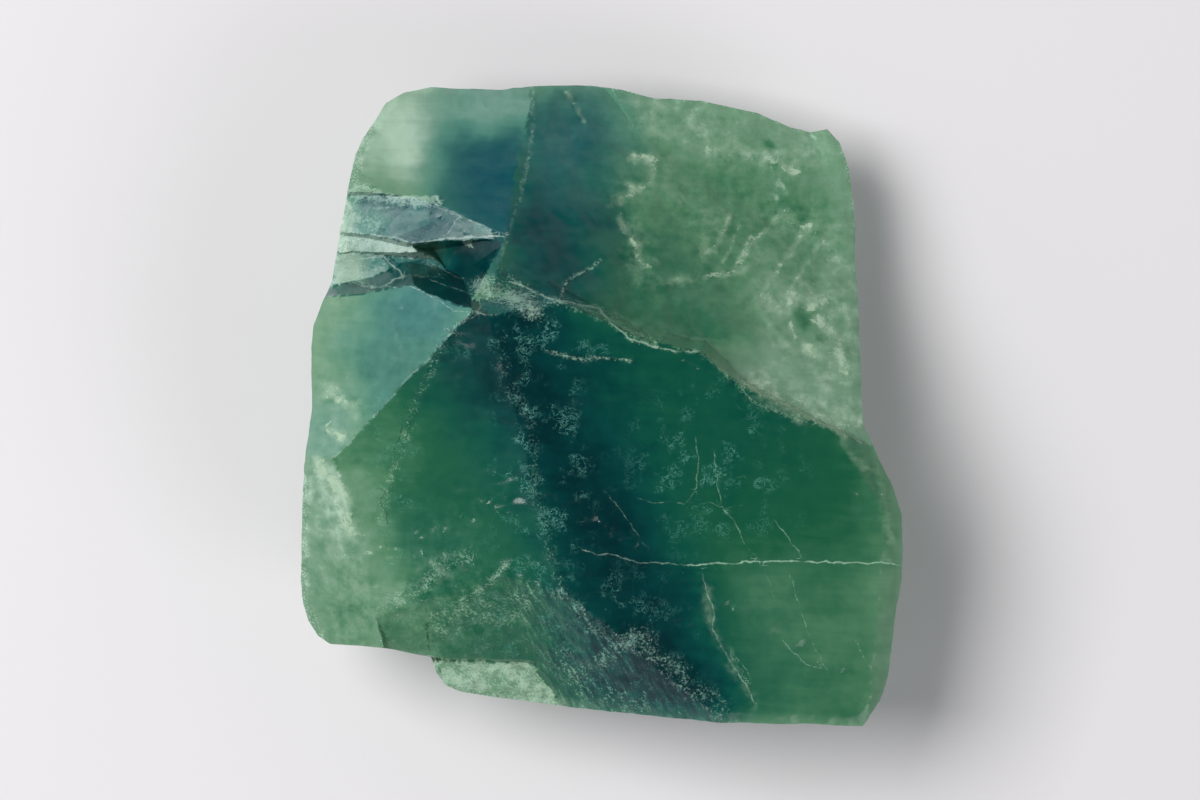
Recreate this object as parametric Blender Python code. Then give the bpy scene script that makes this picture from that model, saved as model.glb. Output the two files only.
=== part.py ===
"""Rough fluorite: one broken chunk of crystal, lying on its flat underside.

The top is a set of cleavage faces, each a plane through three points. The
stone's height over any point is the lowest or the highest of the faces that
meet there, so every ridge, step and valley is where two faces cross. The flat
outline is cut into triangles that follow those crossings, lifted to its height,
and carried down to the underside in a wall that slanting cleavage cuts draw in.

Millimetres in the constants, metres in the model. X runs right, Y to the back
and Z up. The origin is on the underside, at the middle of the stone's box.
"""

from itertools import combinations
from math import ceil, cos, pi, radians, sin, tan

import bmesh
import bpy
from mathutils import Vector, geometry, noise

MM = 0.001

# Seen from above: the rim of the stone, in four runs that go round clockwise
BACK_RIM = [
    (-16.1, 22.6), (-14.7, 23.4), (-12.8, 23.8), (-7.6, 23.6), (-5.1, 23.9), (-0.9, 24.0),
    (1.5, 23.7), (4.0, 23.0), (7.4, 22.9), (11.8, 21.9), (14.1, 20.9), (15.7, 20.5),
]
RIGHT_RIM = [
    (17.0, 20.7), (17.9, 19.7), (18.6, 17.8), (19.0, 14.9), (19.1, 11.2), (19.4, 3.7),
    (19.5, -1.5), (20.0, -2.4), (20.9, -4.4), (21.8, -6.2), (22.4, -8.2), (22.5, -10.7),
    (22.4, -13.1), (22.0, -15.3), (21.4, -20.2), (20.8, -22.1),
]
FRONT_RIM = [
    (19.5, -24.0), (14.8, -23.8), (9.0, -23.7), (2.9, -23.2), (-2.7, -22.6), (-8.3, -21.9),
    (-10.7, -21.5), (-11.8, -21.0), (-12.4, -20.1), (-12.6, -19.1), (-13.0, -18.8),
    (-16.1, -18.2), (-20.3, -17.9),
]
LEFT_RIM = [
    (-21.2, -17.3), (-22.0, -16.2), (-22.4, -14.9), (-22.5, -13.1), (-22.4, -8.6),
    (-22.2, -4.6), (-21.6, -0.4), (-21.7, 4.1), (-21.5, 5.9), (-20.2, 9.2), (-19.4, 13.5),
    (-18.9, 16.2), (-18.4, 18.6), (-17.8, 19.9),
]

# The corner points that several faces share
SUMMIT = (-8.3, 6.5, 20.7)
LEFT_CORNER = (-19.7, -4.0, 15.4)
LIP_START = (-2.9, 7.6, 19.8)
LIP_BEND = (7.3, 3.9, 17.7)
LIP_END = (17.5, -2.1, 15.4)
FRONT_NOTCH = (-7.0, -12.6, 16.9)
FRONT_CORNER = (9.0, -23.7, 14.6)
TERRACE_PEAK = (-7.6, 10.5, 16.2)
TERRACE_TAIL = (-5.1, 23.9, 9.0)
CREST_BEND = (-13.8, 8.8, 17.4)

# Every cleavage face: three points of its plane
FACES = {
    # the high block
    "plateau": (SUMMIT, (20.0, -2.4, 15.0), (9.0, -23.7, 14.7)),
    "glassy_slope": (SUMMIT, LEFT_CORNER, (-3.5, -14.0, 17.5)),
    "left_face": ((-9.8, 6.8, 20.3), LEFT_CORNER, (-21.7, 4.1, 13.0)),
    "lower_left_lump": (LEFT_CORNER, (-16.5, -16.5, 13.5), (-22.5, -14.9, 10.0)),
    "right_bevel": ((21.1, -9.0, 14.1), (20.1, -21.3, 13.0), (22.5, -10.7, 13.1)),
    "right_shoulder": (LIP_END, (21.0, -7.8, 14.2), (21.8, -6.2, 13.4)),
    # the cliffs on its back, left to right
    "notch_cliff_left": ((-20.9, 7.9, 13.0), CREST_BEND, (-16.5, 9.6, 12.4)),
    "notch_cliff_right": (CREST_BEND, SUMMIT, (-10.5, 9.4, 12.4)),
    "notch_cliff_end": ((-6.0, 6.5, 22.0), (-6.0, 9.0, 14.0), (-3.0, 6.5, 10.0)),
    "frosty_cliff": (SUMMIT, LIP_START, (-7.6, 8.8, 15.4)),
    "frosty_side": ((-8.7, 6.6, 20.8), (-8.4, 10.2, 15.4), (-9.7, 8.5, 14.0)),
    "lip_cliff": (LIP_START, LIP_END, (3.6, 5.5, 14.4)),
    "lip_cliff_middle": ((2.0, 4.9, 18.8), LIP_BEND, (5.0, 5.3, 14.4)),
    "lip_cliff_bend": (LIP_BEND, (11.6, 0.0, 16.6), (10.0, 2.5, 13.8)),
    "lip_cliff_side": ((3.6, 4.2, 18.4), (4.2, 6.6, 14.4), (2.6, 5.6, 14.0)),
    # the frosted front, a wide shallow valley between two faces
    "front_left": ((-16.3, -16.3, 13.3), FRONT_NOTCH, (-10.6, -18.8, 12.2)),
    "front_right": ((-3.5, -14.0, 17.3), FRONT_CORNER, (-3.6, -20.6, 11.9)),
    "lump_step": ((-16.8, -15.3, 13.7), (-16.1, -18.2, 13.2), (-16.0, -16.5, 11.6)),
    "ledge_riser": ((-13.0, -18.7, 12.2), (-5.0, -19.0, 12.9), (-9.0, -19.3, 10.6)),
    "ledge_side": ((-4.7, -19.0, 13.0), (-2.5, -22.7, 11.0), (-4.2, -20.9, 10.4)),
    "ledge_top": ((-12.6, -19.1, 10.9), (-5.0, -19.4, 11.5), (-5.3, -22.3, 9.9)),
    # the lower terrace behind
    "terrace_left": (TERRACE_PEAK, TERRACE_TAIL, (-14.7, 23.4, 9.6)),
    "terrace_right": (TERRACE_PEAK, TERRACE_TAIL, (19.3, 7.4, 9.0)),
    "terrace_end": ((-8.0, 6.0, 16.5), (20.0, -3.5, 14.0), (5.0, -0.3, 6.0)),
    "back_shelf": ((-1.0, 22.0, 8.3), (16.0, 20.0, 6.6), (18.0, 14.0, 7.4)),
    "back_shelf_side": ((1.5, 24.0, 8.4), (5.5, 15.0, 8.8), (0.4, 19.0, 6.0)),
    # the notch at the left, with its thin plates
    "rim_riser_left": ((-18.9, 15.9, 13.6), (-12.1, 15.2, 13.9), (-15.5, 14.9, 12.0)),
    "rim_riser_right": ((-12.1, 15.2, 14.0), (-7.0, 12.5, 15.2), (-10.2, 13.2, 12.0)),
    "rim_riser_end": ((-7.0, 12.6, 15.2), (-8.4, 10.1, 16.2), (-8.9, 11.6, 12.0)),
    "notch_floor": ((-20.0, 9.2, 10.7), (-11.0, 9.1, 10.2), (-15.0, 13.0, 10.5)),
    "notch_ramp": ((-12.0, 10.0, 10.4), (-8.0, 10.0, 14.4), (-9.5, 12.0, 13.4)),
    "notch_end": ((-20.9, 7.4, 12.8), (-8.3, 6.0, 14.0), (-15.0, 5.8, 8.0)),
    "plate_1": ((-18.2, 14.0, 12.9), (-11.3, 14.3, 14.2), (-16.4, 12.3, 13.1)),
    "plate_1_front": ((-19.4, 12.9, 12.7), (-14.0, 12.0, 13.5), (-16.6, 12.0, 12.0)),
    "plate_1_right": ((-11.1, 14.3, 14.2), (-11.5, 12.4, 14.0), (-7.0, 12.6, 15.2)),
    "plate_1_cliff": ((-14.0, 12.0, 13.5), (-7.0, 12.4, 15.0), (-11.0, 11.7, 11.6)),
    "plate_2": ((-19.4, 11.9, 12.0), (-14.4, 11.9, 12.6), (-16.8, 11.1, 12.3)),
    "plate_2_front": ((-19.0, 11.3, 12.0), (-14.3, 11.3, 12.5), (-16.6, 10.9, 11.2)),
    "plate_3": ((-19.4, 10.0, 11.5), (-12.5, 10.0, 11.9), (-16.5, 8.8, 11.4)),
    "plate_3_right": ((-16.5, 10.9, 11.9), (-14.7, 9.7, 11.6), (-11.2, 9.2, 11.0)),
    "plate_3_front": ((-14.7, 9.6, 11.7), (-11.0, 9.1, 11.0), (-13.0, 9.0, 9.8)),
    "plate_3_corner": ((-14.6, 9.7, 11.6), (-16.2, 8.6, 11.3), (-15.0, 8.8, 9.8)),
    "plate_side": ((-14.2, 11.9, 12.6), (-11.0, 9.1, 11.9), (-11.9, 10.9, 10.2)),
}

# The wall under the rim: azimuth in degrees, reach from the centre at the
# underside, and how far the face leans out above it in degrees
UNDERCUTS = [
    (-2, 19.4, 19), (9, 18.2, 21), (-40, 26.3, 27), (-87, 21.6, 17), (-110, 20.3, 23),
    (-140, 22.8, 26), (181, 19.7, 21), (167, 18.5, 20), (136, 23.8, 25), (96, 21.8, 25),
    (79, 20.4, 22), (44, 23.3, 29), (24, 20.6, 17), (-66, 25.4, 24),
]

# How finely the shape is drawn
TOP_PITCH = 1.35            # spacing of the points across the top
WALL_ROWS = 9               # rows of faces from the rim to the underside
ROOT_ROW = 0.06             # height of the lowest row, as a share of the wall

# Broken surface: how far a face swells and sinks, and over what distance
PLAIN_RELIEF = (0.10, 4.0)
RELIEF = {
    "plateau": (0.08, 5.0), "glassy_slope": (0.08, 4.5),
    "front_left": (0.26, 1.9), "front_right": (0.24, 1.9), "ledge_top": (0.28, 1.5),
    "terrace_right": (0.30, 3.4), "back_shelf": (0.55, 3.0), "back_shelf_side": (0.40, 3.0),
    "lower_left_lump": (0.24, 3.2), "frosty_cliff": (0.20, 1.6), "lip_cliff": (0.20, 1.8),
}
WALL_RELIEF = (0.40, 4.2)
RIM_CHIP = (0.45, 2.6)      # the rim is worn down this far
RIM_CHIP_WIDTH = 0.9        # within this distance of it
TOP_SEED, WALL_SEED, RIM_SEED = 0.0, 3.0, 7.0
SWELL_OCTAVES = 3
SWELL_LACUNARITY = 2.1

# Working limits
WELD = 0.03                 # points closer than this become one
CLEARANCE = 0.5             # loose points keep this far from a crease or the rim
OVERLAP = 0.6               # share of a step by which a crease runs on at each end
REACH = 26.0                # no point of the rim is farther than this along X or Y
SAME_DIP = 0.001            # faces whose slopes differ less than this don't cross
CROSSING_PITCH = 0.2        # a crossing is tried for at this spacing
CROSSING_STEPS = 300        # and this many times each way
BESIDE = 0.01               # the faces beside a crossing are read this far from it
SHARP_ANGLE = 24.0          # edges sharper than this stay crisp when shaded

STONE_GREEN = (0.05, 0.22, 0.17, 1.0)
STONE_ROUGHNESS = 0.28
STONE_IOR = 1.434


def clear_scene():
    for item in list(bpy.data.objects):
        bpy.data.objects.remove(item, do_unlink=True)


def face_slopes():
    """Each face as (rise along X, rise along Y, height at the origin), in mm."""
    slopes = {}
    for name, (a, b, c) in FACES.items():
        a, b, c = Vector(a), Vector(b), Vector(c)
        normal = (b - a).cross(c - a)
        rise_x = -normal.x / normal.z
        rise_y = -normal.y / normal.z
        slopes[name] = (rise_x, rise_y, a.z - rise_x * a.x - rise_y * a.y)
    return slopes


SLOPES = face_slopes()


def surface(x, y):
    """Height of the stone over (x, y) and the name of the face that makes it."""
    z = {name: (rise_x * x + rise_y * y + base, name)
         for name, (rise_x, rise_y, base) in SLOPES.items()}

    block = min(z["plateau"], z["glassy_slope"], z["left_face"], z["lower_left_lump"],
                z["right_bevel"], z["right_shoulder"])
    cliffs = max(min(z["notch_cliff_left"], z["notch_cliff_right"], z["notch_cliff_end"]),
                 min(z["frosty_cliff"], z["frosty_side"], z["lip_cliff"]),
                 min(z["lip_cliff_middle"], z["lip_cliff_bend"], z["lip_cliff_side"]))
    front = max(z["front_left"], z["front_right"], z["lump_step"])
    ledge = max(z["ledge_riser"], z["ledge_side"], z["ledge_top"])
    block = min(block, cliffs, front, ledge)

    ground = min(z["terrace_left"], z["terrace_right"])
    ground = max(ground, min(z["back_shelf"], z["back_shelf_side"]))
    notch = max(z["rim_riser_left"], z["rim_riser_right"], z["rim_riser_end"],
                z["notch_floor"], z["notch_ramp"])
    terrace = min(ground, notch, z["terrace_end"])

    plate_1 = min(max(z["plate_1"], z["plate_1_right"]), z["plate_1_front"], z["plate_1_cliff"])
    plate_2 = min(z["plate_2"], z["plate_2_front"], z["plate_side"])
    plate_3 = min(z["plate_3"], z["plate_3_right"], z["plate_side"],
                  max(z["plate_3_front"], z["plate_3_corner"]))
    plates = min(max(plate_1, plate_2, plate_3), ground, z["notch_end"])

    return max(block, terrace, plates)


def rim_points():
    """The rim, anticlockwise as seen from above, with no stretch over the pitch."""
    corners = [Vector(point) for point in reversed(BACK_RIM + RIGHT_RIM + FRONT_RIM + LEFT_RIM)]
    points = []
    for a, b in zip(corners, corners[1:] + corners[:1]):
        parts = ceil((b - a).length / TOP_PITCH)
        points += [a.lerp(b, step / parts) for step in range(parts)]
    return points


def inside_rim(rim, spot):
    """True where the spot lies inside the rim, by counting crossings."""
    inside = False
    for a, b in zip(rim, rim[1:] + rim[:1]):
        if (a.y > spot.y) != (b.y > spot.y):
            inside ^= spot.x < a.x + (spot.y - a.y) * (b.x - a.x) / (b.y - a.y)
    return inside


def distance(spot, a, b):
    """How far the spot lies from the straight run between a and b."""
    run = b - a
    share = max(0.0, min(1.0, (spot - a).dot(run) / run.length_squared))
    return (spot - a - run * share).length


def rim_distance(rim, spot):
    return min(distance(spot, a, b) for a, b in zip(rim, rim[1:] + rim[:1]))


def crossings(rim):
    """The stretches in plan where two faces meet on the stone's surface."""
    stretches = []
    for one, other in combinations(SLOPES, 2):
        (one_x, one_y, one_base), (other_x, other_y, other_base) = SLOPES[one], SLOPES[other]
        across = Vector((one_x - other_x, one_y - other_y))
        if across.length < SAME_DIP:
            continue
        point = across * (other_base - one_base) / across.length_squared
        across.normalize()
        along = Vector((-across.y, across.x)) * CROSSING_PITCH
        start = None
        for step in range(-CROSSING_STEPS, CROSSING_STEPS + 1):
            spot = point + along * step
            sides = {surface(*(spot + across * aside))[1] for aside in (-BESIDE, BESIDE)}
            shown = sides == {one, other} and inside_rim(rim, spot)
            if shown and start is None:
                start = spot - along * OVERLAP
            if start is not None and not shown:
                stretches.append((start, spot - along * (1.0 - OVERLAP)))
                start = None
    return stretches


def top_sheet(rim):
    """The flat outline as triangles that follow every crossing of two faces."""
    points = list(rim)
    creases = []
    stretches = crossings(rim)
    for ends in stretches:
        creases.append((len(points), len(points) + 1))
        points += ends
    half = ceil(REACH / TOP_PITCH)
    for row in range(-half, half + 1):
        for column in range(-half, half + 1):
            spot = Vector((column + 0.5 * (row % 2), row)) * TOP_PITCH
            if (inside_rim(rim, spot) and rim_distance(rim, spot) > CLEARANCE
                    and all(distance(spot, *ends) > CLEARANCE for ends in stretches)):
                points.append(spot)
    inside_only = 1
    verts, _, faces, *_ = geometry.delaunay_2d_cdt(
        points, creases, [range(len(rim))], inside_only, WELD)
    sheet = bmesh.new()
    corners = [sheet.verts.new((vert.x, vert.y, 0.0)) for vert in verts]
    for face in faces:
        sheet.faces.new([corners[index] for index in face])
    return sheet


def swell(spot, relief, seed):
    """Smooth broken-rock relief at a spot, from (how far, over what distance)."""
    depth, size = relief
    place = spot / size + Vector((0.0, 0.0, seed))
    waves = noise.fractal(place, 1.0, SWELL_LACUNARITY, SWELL_OCTAVES)
    return depth * max(-1.0, min(1.0, waves))


def lift_top(sheet, rim):
    """Raises each point of the sheet to the stone's height, with its relief."""
    for vert in sheet.verts:
        spot = vert.co.copy()
        level, face = surface(spot.x, spot.y)
        relief = RELIEF.get(face, PLAIN_RELIEF)
        worn = max(0.0, 1.0 - rim_distance(rim, spot.xy) / RIM_CHIP_WIDTH)
        chip = worn * (RIM_CHIP[0] + swell(spot, RIM_CHIP, RIM_SEED)) / 2
        vert.co.z = level + swell(spot, relief, TOP_SEED) - chip


def draw_in(spot, level):
    """Share of its distance from the centre that a wall point keeps at a level."""
    keep = 1.0
    for azimuth, reach, lean in UNDERCUTS:
        angle = radians(azimuth)
        outward = spot.x * cos(angle) + spot.y * sin(angle)
        if outward > 0.0:
            keep = min(keep, (reach + level * tan(radians(lean))) / outward)
    return keep


def rim_loop(sheet):
    """The sheet's border points in order round the stone."""
    edge = next(edge for edge in sheet.edges if edge.is_boundary)
    loop = list(edge.verts)
    while True:
        edge = next(other for other in loop[-1].link_edges if other.is_boundary and other != edge)
        vert = edge.other_vert(loop[-1])
        if vert == loop[0]:
            return loop
        loop.append(vert)


def wall_point(top, raised):
    """The wall's point below a rim point, at a share of the rim's height."""
    spot = Vector((top.x, top.y, top.z * raised))
    worn = sin(pi * raised) * (WALL_RELIEF[0] - swell(spot, WALL_RELIEF, WALL_SEED))
    keep = draw_in(top, spot.z) - worn / top.xy.length
    return (spot.x * keep, spot.y * keep, spot.z)


def add_wall(stone):
    """Rows of faces from the rim down to the underside, then the flat face."""
    upper = rim_loop(stone)
    tops = [vert.co.copy() for vert in upper]
    for row in range(1, WALL_ROWS + 1):
        raised = ROOT_ROW if row == WALL_ROWS - 1 else 1.0 - row / WALL_ROWS
        lower = [stone.verts.new(wall_point(top, raised)) for top in tops]
        for index in range(len(tops)):
            stone.faces.new((upper[index - 1], upper[index], lower[index], lower[index - 1]))
        upper = lower
    stone.faces.new(upper)
    bmesh.ops.triangulate(stone, faces=[face for face in stone.faces if len(face.verts) > 3])
    bmesh.ops.recalc_face_normals(stone, faces=stone.faces[:])


def crystal_material():
    material = bpy.data.materials.new("green_fluorite")
    material.use_nodes = True
    shader = material.node_tree.nodes["Principled BSDF"]
    shader.inputs["Base Color"].default_value = STONE_GREEN
    shader.inputs["Roughness"].default_value = STONE_ROUGHNESS
    shader.inputs["Metallic"].default_value = 0.0
    shader.inputs["IOR"].default_value = STONE_IOR
    material.diffuse_color = STONE_GREEN
    return material


def make_fluorite():
    rim = rim_points()
    stone = top_sheet(rim)
    lift_top(stone, rim)
    add_wall(stone)
    bmesh.ops.scale(stone, vec=(MM, MM, MM), verts=stone.verts[:])
    mesh = bpy.data.meshes.new("fluorite")
    stone.to_mesh(mesh)
    stone.free()
    mesh.materials.append(crystal_material())
    mesh.shade_smooth()
    mesh.set_sharp_from_angle(angle=radians(SHARP_ANGLE))
    fluorite = bpy.data.objects.new("fluorite", mesh)
    bpy.context.scene.collection.objects.link(fluorite)
    return fluorite


def main():
    clear_scene()
    make_fluorite()


main()
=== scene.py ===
"""Rough fluorite, finished: one closed skin over the stone, a pale floor, soft light and a camera above.

The skin takes the stone's own cleavage planes and draws them as a fine sheet, whose points slide onto every
crease, with the broken surface on top. Constants are in millimetres, or in pixels of the 1200 x 800 view from
above where they say so. Meshes are in metres: X right, Y to the back of the stone, Z up.
"""

import bpy
import numpy as np
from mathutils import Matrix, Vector


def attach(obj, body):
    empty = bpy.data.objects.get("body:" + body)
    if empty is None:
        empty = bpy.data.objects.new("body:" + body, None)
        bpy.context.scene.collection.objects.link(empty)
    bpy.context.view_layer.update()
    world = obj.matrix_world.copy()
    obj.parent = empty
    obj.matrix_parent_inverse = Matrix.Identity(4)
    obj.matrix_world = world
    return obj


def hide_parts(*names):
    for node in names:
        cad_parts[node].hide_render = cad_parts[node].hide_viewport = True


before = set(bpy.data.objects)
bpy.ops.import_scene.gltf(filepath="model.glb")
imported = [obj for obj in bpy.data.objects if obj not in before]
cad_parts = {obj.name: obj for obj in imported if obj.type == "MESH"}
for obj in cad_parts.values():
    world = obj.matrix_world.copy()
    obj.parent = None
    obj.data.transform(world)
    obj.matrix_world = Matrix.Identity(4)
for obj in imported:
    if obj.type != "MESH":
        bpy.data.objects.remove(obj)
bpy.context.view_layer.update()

MM = 0.001

# The view from above: pixels for each millimetre, and the pixel over the middle of the stone
VIEW_SCALE = 13.4
VIEW_MIDDLE = (601.5, 404.5)
VIEW_CENTRE = (600.0, 400.0)
VIEW_WIDTH = 1200.0

# Seen from above: the rim of the stone, in four runs that go round clockwise
BACK_RIM = [
    (-16.1, 22.6), (-14.7, 23.4), (-12.8, 23.8), (-7.6, 23.6), (-5.1, 23.9), (-0.9, 24.0),
    (1.5, 23.7), (4.0, 23.0), (7.4, 22.9), (11.8, 21.9), (14.1, 20.9), (15.7, 20.5),
]
RIGHT_RIM = [
    (17.0, 20.7), (17.9, 19.7), (18.6, 17.8), (19.0, 14.9), (19.1, 11.2), (19.4, 3.7),
    (19.5, -1.5), (20.0, -2.4), (20.9, -4.4), (21.8, -6.2), (22.4, -8.2), (22.5, -10.7),
    (22.4, -13.1), (22.0, -15.3), (21.4, -20.2), (20.8, -22.1),
]
FRONT_RIM = [
    (19.5, -24.0), (14.8, -23.8), (9.0, -23.7), (2.9, -23.2), (-2.7, -22.6), (-8.3, -21.9),
    (-10.7, -21.5), (-11.8, -21.0), (-12.4, -20.1), (-12.6, -19.1), (-13.0, -18.8),
    (-16.1, -18.2), (-20.3, -17.9),
]
LEFT_RIM = [
    (-21.2, -17.3), (-22.0, -16.2), (-22.4, -14.9), (-22.5, -13.1), (-22.4, -8.6),
    (-22.2, -4.6), (-21.6, -0.4), (-21.7, 4.1), (-21.5, 5.9), (-20.2, 9.2), (-19.4, 13.5),
    (-18.9, 16.2), (-18.4, 18.6), (-17.8, 19.9),
]

# The corner points that several faces share
SUMMIT = (-8.3, 6.5, 20.7)
LEFT_CORNER = (-19.7, -4.0, 15.4)
LIP_START = (-2.9, 7.6, 19.8)
LIP_BEND = (7.3, 3.9, 17.7)
LIP_END = (17.5, -2.1, 15.4)
FRONT_NOTCH = (-7.0, -12.6, 16.9)
FRONT_CORNER = (9.0, -23.7, 14.6)
TERRACE_PEAK = (-7.6, 10.5, 16.2)
TERRACE_TAIL = (-5.1, 23.9, 9.0)
CREST_BEND = (-13.8, 8.8, 17.4)

# Every cleavage face: three points of its plane
FACES = {
    # the high block
    "plateau": (SUMMIT, (20.0, -2.4, 15.0), (9.0, -23.7, 14.7)),
    "glassy_slope": (SUMMIT, LEFT_CORNER, (-3.5, -14.0, 17.5)),
    "left_face": ((-9.8, 6.8, 20.3), LEFT_CORNER, (-21.7, 4.1, 13.0)),
    "lower_left_lump": (LEFT_CORNER, (-16.5, -16.5, 13.5), (-22.5, -14.9, 10.0)),
    "right_bevel": ((21.1, -9.0, 14.1), (20.1, -21.3, 13.0), (22.5, -10.7, 13.1)),
    "right_shoulder": (LIP_END, (21.0, -7.8, 14.2), (21.8, -6.2, 13.4)),
    # the cliffs on its back, left to right
    "notch_cliff_left": ((-20.9, 7.9, 13.0), CREST_BEND, (-16.5, 9.6, 12.4)),
    "notch_cliff_right": (CREST_BEND, SUMMIT, (-10.5, 9.4, 12.4)),
    "notch_cliff_end": ((-6.0, 6.5, 22.0), (-6.0, 9.0, 14.0), (-3.0, 6.5, 10.0)),
    "frosty_cliff": (SUMMIT, LIP_START, (-7.6, 8.8, 15.4)),
    "frosty_side": ((-8.7, 6.6, 20.8), (-8.4, 10.2, 15.4), (-9.7, 8.5, 14.0)),
    "lip_cliff": (LIP_START, LIP_END, (3.6, 5.5, 14.4)),
    "lip_cliff_middle": ((2.0, 4.9, 18.8), LIP_BEND, (5.0, 5.3, 14.4)),
    "lip_cliff_bend": (LIP_BEND, (11.6, 0.0, 16.6), (10.0, 2.5, 13.8)),
    "lip_cliff_side": ((3.6, 4.2, 18.4), (4.2, 6.6, 14.4), (2.6, 5.6, 14.0)),
    # the frosted front, a wide shallow valley between two faces
    "front_left": ((-16.3, -16.3, 13.3), FRONT_NOTCH, (-10.6, -18.8, 12.2)),
    "front_right": ((-3.5, -14.0, 17.3), FRONT_CORNER, (-3.6, -20.6, 11.9)),
    "lump_step": ((-16.8, -15.3, 13.7), (-16.1, -18.2, 13.2), (-16.0, -16.5, 11.6)),
    "ledge_riser": ((-13.0, -18.7, 12.2), (-5.0, -19.0, 12.9), (-9.0, -19.3, 10.6)),
    "ledge_side": ((-4.7, -19.0, 13.0), (-2.5, -22.7, 11.0), (-4.2, -20.9, 10.4)),
    "ledge_top": ((-12.6, -19.1, 10.9), (-5.0, -19.4, 11.5), (-5.3, -22.3, 9.9)),
    # the lower terrace behind
    "terrace_left": (TERRACE_PEAK, TERRACE_TAIL, (-14.7, 23.4, 9.6)),
    "terrace_right": (TERRACE_PEAK, TERRACE_TAIL, (19.3, 7.4, 9.0)),
    "terrace_end": ((-8.0, 6.0, 16.5), (20.0, -3.5, 14.0), (5.0, -0.3, 6.0)),
    "back_shelf": ((-1.0, 22.0, 8.3), (16.0, 20.0, 6.6), (18.0, 14.0, 7.4)),
    "back_shelf_side": ((1.5, 24.0, 8.4), (5.5, 15.0, 8.8), (0.4, 19.0, 6.0)),
    # the notch at the left, with its thin plates
    "rim_riser_left": ((-18.9, 15.9, 13.6), (-12.1, 15.2, 13.9), (-15.5, 14.9, 12.0)),
    "rim_riser_right": ((-12.1, 15.2, 14.0), (-7.0, 12.5, 15.2), (-10.2, 13.2, 12.0)),
    "rim_riser_end": ((-7.0, 12.6, 15.2), (-8.4, 10.1, 16.2), (-8.9, 11.6, 12.0)),
    "notch_floor": ((-20.0, 9.2, 10.7), (-11.0, 9.1, 10.2), (-15.0, 13.0, 10.5)),
    "notch_ramp": ((-12.0, 10.0, 10.4), (-8.0, 10.0, 14.4), (-9.5, 12.0, 13.4)),
    "notch_end": ((-20.9, 7.4, 12.8), (-8.3, 6.0, 14.0), (-15.0, 5.8, 8.0)),
    "plate_1": ((-18.2, 14.0, 12.9), (-11.3, 14.3, 14.2), (-16.4, 12.3, 13.1)),
    "plate_1_front": ((-19.4, 12.9, 12.7), (-14.0, 12.0, 13.5), (-16.6, 12.0, 12.0)),
    "plate_1_right": ((-11.1, 14.3, 14.2), (-11.5, 12.4, 14.0), (-7.0, 12.6, 15.2)),
    "plate_1_cliff": ((-14.0, 12.0, 13.5), (-7.0, 12.4, 15.0), (-11.0, 11.7, 11.6)),
    "plate_2": ((-19.4, 11.9, 12.0), (-14.4, 11.9, 12.6), (-16.8, 11.1, 12.3)),
    "plate_2_front": ((-19.0, 11.3, 12.0), (-14.3, 11.3, 12.5), (-16.6, 10.9, 11.2)),
    "plate_3": ((-19.4, 10.0, 11.5), (-12.5, 10.0, 11.9), (-16.5, 8.8, 11.4)),
    "plate_3_right": ((-16.5, 10.9, 11.9), (-14.7, 9.7, 11.6), (-11.2, 9.2, 11.0)),
    "plate_3_front": ((-14.7, 9.6, 11.7), (-11.0, 9.1, 11.0), (-13.0, 9.0, 9.8)),
    "plate_3_corner": ((-14.6, 9.7, 11.6), (-16.2, 8.6, 11.3), (-15.0, 8.8, 9.8)),
    "plate_side": ((-14.2, 11.9, 12.6), (-11.0, 9.1, 11.9), (-11.9, 10.9, 10.2)),
}
NAMES = list(FACES)

# The wall under the rim: azimuth in degrees, reach from the centre at the
# underside, and how far the face leans out above it in degrees
UNDERCUTS = [
    (-2, 19.4, 19), (9, 18.2, 21), (-40, 26.3, 27), (-87, 21.6, 17), (-110, 20.3, 23),
    (-140, 22.8, 26), (181, 19.7, 21), (167, 18.5, 20), (136, 23.8, 25), (96, 21.8, 25),
    (79, 20.4, 22), (44, 23.3, 29), (24, 20.6, 17), (-66, 25.4, 24),
]

# How finely the skin is drawn
COLUMNS, ROWS = 254, 271    # steps across the top, along X and along Y
WALL_STEPS = 22             # from the rim to the underside
BASE_RINGS = 3              # across the underside

# Broken surface: how far a face swells and sinks, and over what distance
PLAIN_RELIEF = (0.06, 3.0)
RELIEF = {
    "plateau": (0.02, 5.0), "glassy_slope": (0.012, 4.5), "left_face": (0.03, 2.6),
    "plate_1": (0.015, 2.6), "plate_1_right": (0.015, 2.6),
    "front_left": (0.20, 1.9), "front_right": (0.20, 1.9), "ledge_top": (0.26, 1.3),
    "terrace_right": (0.26, 3.4), "back_shelf": (0.20, 3.0), "back_shelf_side": (0.20, 3.0),
    "lower_left_lump": (0.22, 3.2), "frosty_cliff": (0.20, 1.4), "lip_cliff": (0.18, 1.8),
    "lip_cliff_middle": (0.16, 1.8), "lip_cliff_bend": (0.16, 1.8),
}
FACE_BLEND = 0.5            # relief of one face runs out over this rise past its crease
WANDER = ((0.20, 2.8), (0.06, 0.7))     # creases stray this far, over this distance
STREAKED = ("front_right",)
STREAK_TURN, STREAK_LONG, STREAK_WIDE, STREAK_DEPTH = -62.0, 2.2, 0.34, 0.10
GRAINED = ("ledge_top", "front_left", "front_right", "lip_cliff", "frosty_cliff")
GRAIN_DEPTH, GRAIN_SIZE = 0.07, 0.42
WALL_RELIEF = (0.40, 4.2)
WALL_STEP = (0.34, 2.7)     # cleavage steps on the wall: depth, and height between them
WALL_GRAIN = (0.10, 0.8)
WALL_SLANT = (0.42, -0.3)   # the steps rise this much along X and along Y
WALL_STRAY = (1.6, 6.0)     # and stray this far, over this distance
RIM_NICKS = ((0.07, 2.4), (0.035, 0.7))     # the rim is nicked inwards about this far, over this distance
RIM_CHIP = (0.38, 2.2)      # the rim is worn down this far
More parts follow.
